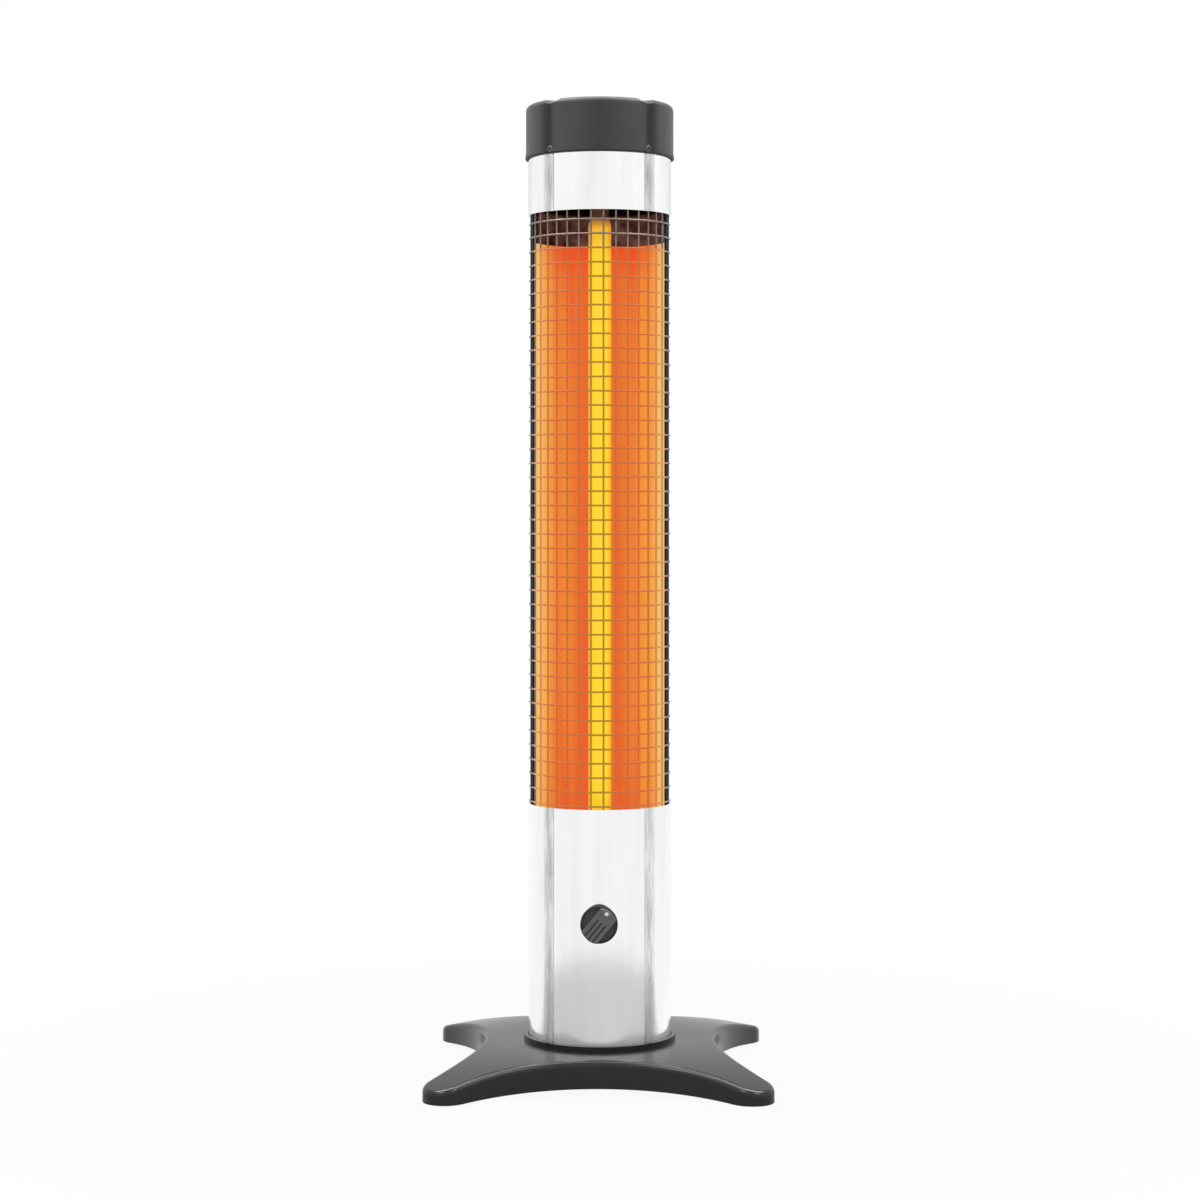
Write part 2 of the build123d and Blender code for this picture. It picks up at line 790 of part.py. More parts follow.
with BuildPart() as tip_switch:
    with BuildSketch(Plane.XY.offset(micro_base)):
        Rectangle(micro_width, micro_depth)
    extrude(amount=micro_tall)
    chamfer(tip_switch.edges(), pad_edge)
    with BuildSketch(Plane.XY.offset(micro_base)):
        Circle(micro_button_radius)
    extrude(amount=plunger_stop_gap - micro_button)
    with BuildSketch(Plane.XZ):
        with Locations((0, micro_middle)):
            with GridLocations(2 * micro_screw_half_spacing, 0, 2, 1):
                Circle(screw_radius + screw_hole_gap)
    extrude(amount=micro_depth, both=True, mode=Mode.SUBTRACT)

with BuildPart() as tip_switch_screws:
    for side in (-1, 1):
        seat = Plane(origin=(side * micro_screw_half_spacing, -micro_depth / 2, micro_middle), z_dir=(0, -1, 0))
        add(pan_screw(seat, micro_screw_length, screw_radius, screw_head_radius, screw_head))


# Top cap

def crown_bound(drop):
    """A disc with a slightly domed top, as the upper bound of the cap or its cavity."""
    start = (0, cap_top - drop)
    end = (2 * cap_outer_radius, cap_top - drop - 4 * cap_crown)
    with BuildPart() as crown:
        with BuildSketch(Plane.XZ):
            with BuildLine():
                Polyline(end, (end[0], cap_bottom - cap_height), (0, cap_bottom - cap_height), start)
                ThreePointArc(start, falling_arc(start, end), end)
            make_face()
        revolve(axis=Axis.Z)
    return crown.part


def valleys(wall):
    """Round cutters that sink into the cap's top towards each groove, grown by a wall."""
    tilt = atan((valley_depth + cap_crown) / valley_length)
    with BuildPart() as cutters:
        for angle in groove_polar:
            direction = (cos(radians(angle)), sin(radians(angle)), -sin(tilt))
            start = polar(cap_outer_radius - valley_length, angle, cap_top + valley_radius)
            with BuildSketch(Plane(origin=start, z_dir=direction)):
                Circle(valley_radius + wall)
            extrude(amount=2 * valley_length)
    return cutters.part


cap_inner_radius = column_radius + cap_clearance
cap_outer_radius = cap_inner_radius + cap_wall
cap_cavity_section = lobed_outline(cap_inner_radius, groove_radius - cap_clearance, cap_inner_groove)
cap_groove_spots = [polar(cap_outer_groove + groove_radius, angle) for angle in groove_polar]
cap_crown_bound = crown_bound(0)
cavity_crown_bound = crown_bound(cap_roof)
valley_cutters = valleys(0)
grown_valleys = valleys(cap_roof)

with BuildPart() as cap_cavity:
    with BuildSketch(Plane.XY.offset(cap_bottom - cap_rim_height)):
        add(cap_cavity_section)
    extrude(amount=cap_height)
    add(cavity_crown_bound, mode=Mode.INTERSECT)
    add(grown_valleys, mode=Mode.SUBTRACT)
    with BuildSketch(Plane.XY.offset(column_top + end_plate_flange + layer_gap)):
        with Locations(*[polar(cap_post_circle, 90 * turn) for turn in range(4)]):
            Circle(cap_post_radius)
    extrude(amount=cap_height, mode=Mode.SUBTRACT)

with BuildPart() as top_cap:
    with BuildSketch(Plane.XY.offset(cap_bottom)):
        Circle(cap_outer_radius)
    extrude(amount=cap_height)
    add(cap_crown_bound, mode=Mode.INTERSECT)
    walls = top_cap.faces().filter_by(GeomType.CYLINDER)
    rim = walls.edges().filter_by(GeomType.LINE, reverse=True).group_by(Axis.Z)[-1]
    fillet(rim, cap_edge_round)
    with BuildSketch(Plane.XY.offset(cap_bottom)):
        Circle(cap_outer_radius + cap_rim_proud)
    extrude(amount=cap_rim_height)
    with BuildSketch(Plane.XY.offset(cap_bottom)):
        with Locations(*cap_groove_spots):
            Circle(groove_radius)
    extrude(amount=cap_height, mode=Mode.SUBTRACT)
    add(valley_cutters, mode=Mode.SUBTRACT)
    add(cap_cavity.part, mode=Mode.SUBTRACT)
    add(cap_screw_holes.part, mode=Mode.SUBTRACT)
    for plane in cap_screw_planes:
        with BuildSketch(plane):
            Circle(screw_head_radius + screw_hole_gap)
        extrude(amount=screw_head, mode=Mode.SUBTRACT)

with BuildPart() as cap_screws:
    for plane in cap_screw_planes:
        add(pan_screw(plane, cap_screw_length, screw_radius, screw_head_radius, screw_head))


# Wire guard

cross_wire_count = int((window_height - first_wire_margin - 2 * wire_radius) / wire_pitch) + 1
cross_wire_heights = [window_bottom + first_wire_margin + wire_pitch * row
                      for row in range(cross_wire_count)]
upright_step = groove_angle / uprights_per_groove
upright_polar = [FRONT + upright_shift + upright_step * (turn - (upright_count - 1) / 2)
                 for turn in range(upright_count)]
band_heights = {"lower": window_bottom - band_inset - band_width, "upper": window_top + band_inset}
wire_start = FRONT - cross_wire_angle
wire_start_plane = Plane(origin=(0, 0, 0), x_dir=polar(1, wire_start), z_dir=polar(1, wire_start - 90))
band_section = sector(band_outer - band_wall, band_outer, FRONT - band_angle, 2 * band_angle)

with BuildPart() as cross_wires:
    with BuildSketch(wire_start_plane):
        with Locations(*[(cross_wire_circle, height) for height in cross_wire_heights]):
            Circle(wire_radius)
    revolve(axis=Axis.Z, revolution_arc=2 * cross_wire_angle)

with BuildPart() as upright_wires:
    with BuildSketch(Plane.XY.offset(band_heights["lower"])):
        with Locations(*[polar(upright_circle, angle) for angle in upright_polar]):
            Circle(wire_radius)
    extrude(amount=band_heights["upper"] + band_width - band_heights["lower"])

wire_guard = Compound(children=list(cross_wires.part.solids()) + list(upright_wires.part.solids()))

guard_bands = {}
for level, base in band_heights.items():
    with BuildPart() as guard_band:
        with BuildSketch(Plane.XY.offset(base)):
            add(band_section)
        extrude(amount=band_width)
    guard_bands[level] = guard_band


# Reflector, baffles and heat shield

reflector_edge = polar(tongue_outer - reflector_wall, FRONT + reflector_edge_angle)
right_points = [reflector_edge[:2]] + list(zip(reflector_half_widths, reflector_setbacks))
reflector_points = right_points + [(-x, y) for x, y in reversed(right_points)]
shield_edge_setback = liner_inner * cos(radians(shield_half_angle))
shield_section = sector(liner_inner, liner_outer, BACK - shield_half_angle, 2 * shield_half_angle)
ear_sweep = ear_rear_angle - ear_front_angle
ears = [sector(core_radius - baffle_wall, tongue_outer, FRONT + ear_front_angle, ear_sweep),
        sector(core_radius - baffle_wall, tongue_outer, FRONT - ear_rear_angle, ear_sweep)]

with BuildPart() as reflector:
    with BuildSketch(Plane.XY.offset(lower_baffle_top + weld_gap)):
        with BuildLine():
            FilletPolyline(*reflector_points, radius=reflector_bend)
            offset(amount=reflector_wall, side=Side.RIGHT)
        make_face()
    extrude(amount=window_top - reflector_stop - lower_baffle_top - weld_gap)

with BuildPart() as heat_shield:
    with BuildSketch(Plane.XY.offset(shield_base)):
        add(shield_section)
    extrude(amount=upper_baffle_base - weld_gap - shield_base)

baffles = {}
for level, base, fold, passing in (("lower", lower_baffle_base, -1, tube_radius),
                                   ("upper", upper_baffle_base, 1, ceramic_radius)):
    with BuildPart() as baffle:
        with BuildSketch(Plane.XY.offset(base)):
            Circle(core_radius)
            with Locations((0, shield_edge_setback - baffle_gap)):
                Rectangle(2 * column_radius, column_radius, align=(Align.CENTER, Align.MIN),
                          mode=Mode.SUBTRACT)
            Circle(liner_inner - baffle_gap)
            with Locations((0, tube_setback)):
                Circle(passing + tube_clearance, mode=Mode.SUBTRACT)
        extrude(amount=baffle_wall)
        with BuildSketch(Plane.XY.offset(base if fold > 0 else base + baffle_wall)):
            for ear in ears:
                add(ear)
        extrude(amount=fold * ear_height)
    baffles[level] = baffle


# Quartz tube and its carbon element

def tube_profile(radius, neck, half_length, end_reach):
    """Half of a tube's outline: a straight side, a rounded shoulder and a neck."""
    side = half_length - tube_shoulder
    with BuildSketch() as profile:
        with BuildLine():
            Polyline((neck, half_length), (neck, half_length + end_reach), (0, half_length + end_reach),
                     (0, 0), (radius, 0), (radius, side))
            EllipticalCenterArc((neck, side), radius - neck, tube_shoulder, start_angle=0, arc_size=90)
        make_face()
    return profile.sketch


outer_profile = tube_profile(tube_radius, neck_radius, tube_length / 2, neck_length)
inner_profile = tube_profile(tube_radius - tube_wall, neck_radius - tube_wall, tube_length / 2 - tube_wall,
                             tube_wall)
tube_plane = Plane(origin=(0, tube_setback, tube_middle), x_dir=(1, 0, 0), z_dir=(0, -1, 0))
tube_axis = Axis((0, tube_setback, 0), (0, 0, 1))
ribbon_end = tube_length / 2 - ribbon_margin
pin_start = ribbon_end - ribbon_width
pin_end = tube_length / 2 + neck_length + pin_depth

with BuildPart() as quartz_tube:
    with BuildSketch(tube_plane):
        add(outer_profile)
        add(inner_profile, mode=Mode.SUBTRACT)
        mirror(about=Plane.XZ)
    revolve(axis=tube_axis)
    with BuildSketch(Plane(origin=(0, tube_setback, tube_middle))):
        Circle(pin_radius + neck_gap)
    extrude(amount=pin_end, both=True, mode=Mode.SUBTRACT)

with BuildPart() as carbon_element:
    with BuildSketch(Plane(origin=(0, tube_setback, tube_middle))):
        Rectangle(ribbon_width, ribbon_thickness)
    extrude(amount=ribbon_end, both=True)
    for side in (-1, 1):
        with BuildSketch(Plane(origin=(0, tube_setback, tube_middle + side * pin_start))):
            Circle(pin_radius)
        extrude(amount=side * (pin_end - pin_start))


# Ceramic tube ends and the brackets that hold them

ceramic_neck = ceramic_radius - ceramic_groove_depth
ceramic_ends = {}
tube_brackets = {}
for level, start, fold, shelf in (("upper", tube_top, 1, upper_baffle_base + baffle_wall),
                                  ("lower", tube_bottom, -1, lower_baffle_base)):
    groove_place = start + fold * (ceramic_length - ceramic_groove_inset)
    tube_end = Plane(origin=(0, tube_setback, start), x_dir=(1, 0, 0), z_dir=(0, 0, fold))
    with BuildPart() as ceramic_end:
        with BuildSketch(tube_end):
            Circle(ceramic_radius)
        extrude(amount=ceramic_length)
        chamfer(ceramic_end.edges().filter_by(GeomType.CIRCLE), ceramic_edge)
        with BuildSketch(tube_end):
            Circle(neck_radius + neck_gap)
        extrude(amount=neck_length + neck_gap, mode=Mode.SUBTRACT)
        with BuildSketch(tube_end):
            Circle(pin_radius + neck_gap)
        extrude(amount=neck_length + pin_depth + neck_gap, mode=Mode.SUBTRACT)
        with BuildSketch(Plane(origin=(0, tube_setback, groove_place - bracket_wall / 2 - bracket_gap))):
            Circle(ceramic_radius + 1)
            Circle(ceramic_neck, mode=Mode.SUBTRACT)
        extrude(amount=bracket_wall + 2 * bracket_gap, mode=Mode.SUBTRACT)
    ceramic_ends[level] = ceramic_end

    leg_back = tube_setback + bracket_back
    far_face = groove_place + fold * bracket_wall / 2
    leg_base = min(shelf, far_face)
    shelf_plane = Plane(origin=(0, leg_back, shelf), x_dir=(1, 0, 0), z_dir=(0, 0, fold))
    with BuildPart() as tube_bracket:
        with BuildSketch(Plane.XY.offset(groove_place - bracket_wall / 2)):
            with Locations((0, tube_setback - bracket_front)):
                Rectangle(bracket_width, bracket_front + bracket_back, align=(Align.CENTER, Align.MIN))
            with Locations((0, tube_setback)):
                Circle(ceramic_neck + bracket_gap, mode=Mode.SUBTRACT)
                Rectangle(2 * (ceramic_neck + bracket_gap), 2 * bracket_front,
                          align=(Align.CENTER, Align.MAX), mode=Mode.SUBTRACT)
        extrude(amount=bracket_wall)
        with BuildSketch(Plane.XY.offset(leg_base)):
            with Locations((0, leg_back)):
                Rectangle(bracket_width, bracket_wall, align=(Align.CENTER, Align.MAX))
        extrude(amount=abs(far_face - shelf))
        with BuildSketch(shelf_plane):
            Rectangle(bracket_width, 2 * bracket_lip)
            with Locations((0, -fold * (bracket_lip + bracket_wall))):
                Rectangle(bracket_width, 2 * bracket_lip, mode=Mode.SUBTRACT)
        extrude(amount=bracket_wall)
    tube_brackets[level] = tube_bracket


# Knob and its marker

knob_back = -(column_radius + knob_gap)
knob_turned = Plane(origin=(0, knob_back, knob_height), z_dir=(0, -1, 0),
                    x_dir=(cos(radians(knob_angle)), 0, -sin(radians(knob_angle))))
shaft_bore = shaft_radius + shaft_clearance


def flatted_round(gap):
    """The shaft's D section, grown by a gap."""
    with BuildSketch() as section:
        Circle(shaft_radius + gap)
        with Locations((0, shaft_radius - shaft_flat + gap)):
            Rectangle(3 * shaft_radius, shaft_radius, align=(Align.CENTER, Align.MIN), mode=Mode.SUBTRACT)
    return section.sketch


with BuildSketch() as grip_section:
    Circle(knob_grip_reach)
    Rectangle(knob_grip_width, 3 * knob_radius, mode=Mode.INTERSECT)

shaft_section = flatted_round(0)
shaft_bore_section = flatted_round(shaft_clearance)

with BuildPart() as knob:
    with BuildSketch(knob_turned):
        Circle(knob_radius)
    extrude(amount=knob_skirt)
    fillet(knob.faces().sort_by(Axis.Y)[0].edges(), knob_round)
    with BuildSketch(knob_turned.offset(knob_skirt)):
        Circle(knob_radius - knob_rim)
    extrude(amount=-knob_scoop, mode=Mode.SUBTRACT)
    with BuildSketch(knob_turned.offset(knob_skirt - knob_scoop)):
        add(grip_section.sketch)
    extrude(amount=knob_depth - knob_skirt + knob_scoop)
    fillet(knob.faces().sort_by(Axis.Y)[0].edges(), knob_round)
    with BuildSketch(knob_turned.offset(knob_depth)):
        with Locations((0, -knob_grip_reach)):
            with GridLocations(flute_pitch, 0, flute_count, 1):
                Rectangle(flute_width, 2 * flute_length)
    extrude(amount=-flute_depth, mode=Mode.SUBTRACT)
    with BuildSketch(knob_turned.offset(knob_depth)):
        with Locations((marker_offset, marker_reach)):
            Circle(marker_radius)
    extrude(amount=-marker_sink, mode=Mode.SUBTRACT)
    with BuildSketch(knob_turned):
        add(shaft_bore_section)
    extrude(amount=shaft_knob_depth + shaft_clearance, mode=Mode.SUBTRACT)

with BuildPart() as knob_marker:
    with BuildSketch(knob_turned.offset(knob_depth - marker_sink)):
        with Locations((marker_offset, marker_reach)):
            Circle(marker_radius)
    extrude(amount=marker_sink)


# Rotary switch, its shaft, nut and wall plate

def wall_bracket(face, side, height, tab_angle):
    """A flat plate across the column whose ends bend into tabs on the shell's inner wall."""
    outer = shell_inner - layer_gap
    middle = BACK if side > 0 else FRONT
    end_angle = degrees(acos((face - wall_plate) / outer))
    tabs = [sector(outer - wall_plate, outer, middle + tab_angle, end_angle - tab_angle),
            sector(outer - wall_plate, outer, middle - end_angle, end_angle - tab_angle)]
    with BuildPart() as bracket:
        with BuildSketch(Plane.XY.offset(height - wall_plate_tall / 2)):
            Circle(outer)
            with Locations((0, side * (face - wall_plate / 2))):
                Rectangle(2 * column_radius, wall_plate, mode=Mode.INTERSECT)
            for tab in tabs:
                add(tab)
        extrude(amount=wall_plate_tall)
    return bracket.part


switch_face = shell_inner - switch_setback
switch_back = -(switch_face - wall_plate)
switch_plane = Plane(origin=(0, switch_back, knob_height), x_dir=(1, 0, 0), z_dir=(0, -1, 0))
switch_bracket_blank = wall_bracket(switch_face, -1, knob_height, switch_tab_angle)

with BuildPart() as switch_bracket:
    add(switch_bracket_blank)
    with BuildSketch(switch_plane):
        Circle(bushing_radius + bushing_gap)
    extrude(amount=wall_plate, mode=Mode.SUBTRACT)

with BuildPart() as rotary_switch:
    with BuildSketch(switch_plane):
        Rectangle(switch_width, switch_tall)
    extrude(amount=-switch_depth)
    chamfer(rotary_switch.edges(), pad_edge)
    with BuildSketch(switch_plane):
        Circle(bushing_radius)
    extrude(amount=bushing_length)
    with BuildSketch(switch_plane.offset(bushing_length)):
        Circle(shaft_bore)
    extrude(amount=-bushing_length - shaft_switch_depth - shaft_clearance, mode=Mode.SUBTRACT)

with BuildPart() as switch_nut:
    with BuildSketch(switch_plane.offset(wall_plate)):
        RegularPolygon(nut_radius, 6)
        Circle(bushing_radius + bushing_gap, mode=Mode.SUBTRACT)
    extrude(amount=nut_thickness)

with BuildPart() as switch_shaft:
    with BuildSketch(switch_plane.offset(-shaft_switch_depth)):
        Circle(shaft_radius)
    extrude(amount=switch_back + shaft_switch_depth - knob_back)
    with BuildSketch(knob_turned):
        add(shaft_section)
    extrude(amount=shaft_knob_depth)


# Cord outlet

gland_plane = Plane(origin=(0, column_radius + gland_flange, gland_height), x_dir=(1, 0, 0), z_dir=(0, 1, 0))
nut_seat = sqrt(shell_inner**2 - gland_nut_radius**2) - weld_gap
nut_plane = Plane(origin=(0, nut_seat, gland_height), x_dir=(1, 0, 0), z_dir=(0, -1, 0))

with BuildPart() as cord_gland:
    with BuildSketch(gland_plane):
        Circle(gland_flange_radius)
    extrude(amount=-gland_flange - shell_wall)
    fillet(cord_gland.faces().sort_by(Axis.Y)[-1].edges(), pad_edge)
    with BuildSketch(Plane.XY.offset(gland_height - 2 * gland_flange_radius)):
        Circle(column_radius)
    extrude(amount=4 * gland_flange_radius, mode=Mode.SUBTRACT)
    with BuildSketch(gland_plane.offset(-gland_flange / 2)):
        Circle(gland_neck)
    extrude(amount=-gland_flange / 2 - gland_tail)
    with BuildSketch(gland_plane):
        Circle(gland_bore)
    extrude(amount=-gland_flange - gland_tail, mode=Mode.SUBTRACT)

with BuildPart() as gland_locknut:
    with BuildSketch(nut_plane):
        RegularPolygon(gland_nut_radius, 6)
        Circle(gland_neck + bushing_gap, mode=Mode.SUBTRACT)
    extrude(amount=gland_nut)


# Terminal block, its plate and the earth screw

terminal_face = shell_inner - terminal_setback
terminal_back = terminal_face - wall_plate
terminal_wire_y = terminal_back - terminal_depth / 2
terminal_plane = Plane(origin=(0, terminal_back - weld_gap, terminal_height), x_dir=(1, 0, 0),
                       z_dir=(0, -1, 0))
pole_spots = [terminal_pitch * pole for pole in (-1, 0, 1)]
earth_height = terminal_height + earth_screw_rise
earth_plane = Plane(origin=(earth_screw_offset, terminal_back - weld_gap, earth_height), x_dir=(1, 0, 0),
                    z_dir=(0, -1, 0))
terminal_plate_blank = wall_bracket(terminal_face, 1, terminal_height, terminal_tab_angle)

with BuildPart() as terminal_plate:
    add(terminal_plate_blank)
    with BuildSketch(earth_plane):
        Circle(screw_radius + screw_hole_gap)
    extrude(amount=-wall_plate - 1, mode=Mode.SUBTRACT)

with BuildPart() as terminal_block:
    with BuildSketch(terminal_plane):
        Rectangle(terminal_width, terminal_tall)
    extrude(amount=terminal_depth)
    chamfer(terminal_block.edges(), pad_edge)
    with BuildSketch(Plane.XY.offset(terminal_height)):
        with Locations(*[(x, terminal_wire_y) for x in pole_spots]):
            Circle(terminal_bore)
    extrude(amount=terminal_tall, both=True, mode=Mode.SUBTRACT)
    with BuildSketch(terminal_plane.offset(terminal_depth)):
        with Locations(*[(x, 0) for x in pole_spots]):
            Circle(terminal_screw_radius)
    extrude(amount=-terminal_screw_sink, mode=Mode.SUBTRACT)

with BuildPart() as earth_screw:
    add(pan_screw(earth_plane, wall_plate + screw_head, screw_radius, screw_head_radius, screw_head))


# Thermal cutout on the heat shield

cutout_seat = sqrt(liner_inner**2 - cutout_radius**2) - weld_gap
cutout_plane = Plane(origin=(0, cutout_seat, cutout_height), x_dir=(1, 0, 0), z_dir=(0, -1, 0))

with BuildPart() as thermal_cutout:
    with BuildSketch(cutout_plane):
        Circle(cutout_radius)
    extrude(amount=cutout_depth)
    fillet(thermal_cutout.faces().sort_by(Axis.Y)[0].edges(), knob_round)


# Leads

def lead(points):
    """An insulated lead along straight runs joined by arcs."""
    with BuildPart() as wire:
        with BuildLine() as route:
            FilletPolyline(*points, radius=lead_bend)
        with BuildSketch(Plane(origin=route.line @ 0, z_dir=route.line % 0)):
            Circle(lead_radius)
        sweep()
    return wire


cutout_face = cutout_seat - cutout_depth - weld_gap
cutout_stand = cutout_face - 1.5 * lead_bend
switch_rear = switch_back + switch_depth + weld_gap
switch_terminal = switch_width / 4
micro_terminal = micro_width / 4
tip_terminal = micro_top + weld_gap
rear_gap = (liner_outer + shell_inner) / 2
top_shelf = tube_top + ceramic_length + top_lead_rise
earth_face = terminal_back - 2 * weld_gap - screw_head

lead_routes = {
    "supply_lead": [(-terminal_pitch, terminal_wire_y, terminal_height),
                    (-terminal_pitch, terminal_wire_y, lead_shelf),
                    (-switch_terminal, 0, lead_shelf),
                    (-switch_terminal, switch_rear + lead_run, knob_height),
                    (-switch_terminal, switch_rear, knob_height)],
    "switch_lead": [(switch_terminal, switch_rear, knob_height),
                    (switch_terminal, switch_rear + lead_run, knob_height),
                    (micro_terminal, 0, knob_height - lead_run),
                    (micro_terminal, 0, tip_terminal)],
    "cutout_lead": [(-micro_terminal, 0, tip_terminal),
                    (-micro_terminal, 0, tip_terminal + lead_run),
                    (-switch_width, cutout_stand, terminal_height),
                    (-switch_width, cutout_stand, cutout_height),
                    (-cutout_tab, cutout_stand, cutout_height),
                    (-cutout_tab, cutout_face, cutout_height)],
    "tube_upper_lead": [(cutout_tab, cutout_face, cutout_height),
                        (cutout_tab, cutout_stand, cutout_height),
                        (cutout_tab, cutout_stand, (lead_shelf + shield_base) / 2),
                        (cutout_tab, rear_gap, (lead_shelf + shield_base) / 2),
                        (cutout_tab, rear_gap, top_shelf),
                        (0, tube_setback, top_shelf),
                        (0, tube_setback, tube_top + ceramic_length + weld_gap)],
    "tube_lower_lead": [(0, terminal_wire_y, terminal_height),
                        (0, terminal_wire_y, lead_shelf),
                        (0, tube_setback, lead_shelf),
                        (0, tube_setback, tube_bottom - ceramic_length - weld_gap)],
    "earth_lead": [(terminal_pitch, terminal_wire_y, terminal_height),
                   (terminal_pitch, terminal_wire_y, earth_height),
                   (earth_screw_offset, earth_face - lead_run, earth_height),
                   (earth_screw_offset, earth_face, earth_height)],
}


# Files

pieces = {
    "base_cover": base_cover,
    "base_plate": base_plate,
    "base_plate_screws": base_plate_screws,
    "column_screws": column_screws,
    "rear_housing": rear_housing,
    "lower_cover": lower_cover,
    "upper_cover": upper_cover,
    "cover_screws": cover_screws,
    "lower_end_plate": lower_end_plate,
    "upper_end_plate": upper_end_plate,
    "end_plate_screws": end_plate_screws,
    "tip_plunger": tip_plunger,
    "tip_spring": tip_spring,
    "tip_switch": tip_switch,
    "tip_switch_screws": tip_switch_screws,
    "top_cap": top_cap,
    "cap_screws": cap_screws,
    "reflector": reflector,
    "heat_shield": heat_shield,
    "quartz_tube": quartz_tube,
    "carbon_element": carbon_element,
    "knob": knob,
    "knob_marker": knob_marker,
    "switch_shaft": switch_shaft,
    "switch_bracket": switch_bracket,
    "rotary_switch": rotary_switch,
    "switch_nut": switch_nut,
    "cord_gland": cord_gland,
    "gland_locknut": gland_locknut,
    "terminal_plate": terminal_plate,
    "terminal_block": terminal_block,
    "earth_screw": earth_screw,
    "thermal_cutout": thermal_cutout,
}
pieces.update({f"foot_pad_{corner}": pad for corner, pad in foot_pads.items()})
pieces.update({f"side_rail_{side}": rail for side, rail in side_rails.items()})
pieces.update({f"guard_band_{level}": band for level, band in guard_bands.items()})
pieces.update({f"{level}_baffle": baffle for level, baffle in baffles.items()})
pieces.update({f"{level}_ceramic_end": end for level, end in ceramic_ends.items()})
pieces.update({f"{level}_tube_bracket": bracket for level, bracket in tube_brackets.items()})
pieces.update({name: lead(points) for name, points in lead_routes.items()})

os.makedirs("parts", exist_ok=True)
for name, piece in pieces.items():
    piece.part.label = name
    export_step(piece.part, f"parts/{name}.step")

wire_guard.label = "wire_guard"
export_step(wire_guard, "parts/wire_guard.step")
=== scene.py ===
from math import cos, pi, radians, sin

import bmesh
import bpy
import numpy as np
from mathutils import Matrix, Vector


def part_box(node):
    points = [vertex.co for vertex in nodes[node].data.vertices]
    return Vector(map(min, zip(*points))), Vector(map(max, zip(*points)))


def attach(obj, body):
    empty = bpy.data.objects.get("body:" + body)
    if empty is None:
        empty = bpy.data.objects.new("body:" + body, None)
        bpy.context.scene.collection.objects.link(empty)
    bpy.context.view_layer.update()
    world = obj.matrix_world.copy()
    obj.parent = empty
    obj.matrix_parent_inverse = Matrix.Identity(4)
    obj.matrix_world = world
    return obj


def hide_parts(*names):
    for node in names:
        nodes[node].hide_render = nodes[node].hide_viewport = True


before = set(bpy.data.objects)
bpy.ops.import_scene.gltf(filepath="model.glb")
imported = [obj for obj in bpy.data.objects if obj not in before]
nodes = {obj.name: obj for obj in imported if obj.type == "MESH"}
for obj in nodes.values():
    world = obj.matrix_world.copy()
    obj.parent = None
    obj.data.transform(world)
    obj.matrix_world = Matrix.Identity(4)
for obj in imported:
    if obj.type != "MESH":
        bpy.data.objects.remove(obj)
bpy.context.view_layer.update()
print("frame loaded:", len(nodes), "nodes")


# Shader maths

class Value:
    # one socket of a node tree; maths on it adds Math nodes to the same tree
    def __init__(self, finish, socket):
        self.finish = finish
        self.socket = socket

    def maths(self, operation, *numbers):
        return self.finish.node("ShaderNodeMath", {"operation": operation}, dict(enumerate(numbers)))

    def __add__(self, other):
        return self.maths("ADD", self, other)

    def __radd__(self, other):
        return self.maths("ADD", other, self)

    def __sub__(self, other):
        return self.maths("SUBTRACT", self, other)

    def __rsub__(self, other):
        return self.maths("SUBTRACT", other, self)

    def __mul__(self, other):
        return self.maths("MULTIPLY", self, other)

    def __rmul__(self, other):
        return self.maths("MULTIPLY", other, self)

    def __truediv__(self, other):
        return self.maths("DIVIDE", self, other)

    def __rtruediv__(self, other):
        return self.maths("DIVIDE", other, self)

    def __pow__(self, other):
        return self.maths("POWER", self, other)

    def __rpow__(self, other):
        return self.maths("POWER", other, self)

    def clipped(self):
        return self.maths("MINIMUM", self.maths("MAXIMUM", self, 0.0), 1.0)

    def size(self):
        return self.maths("ABSOLUTE", self)

    def sine(self):
        return self.maths("SINE", self)

    def least(self, other):
        return self.maths("MINIMUM", self, other)

    def angleFrom(self, other):
        return self.maths("ARCTAN2", self, other)


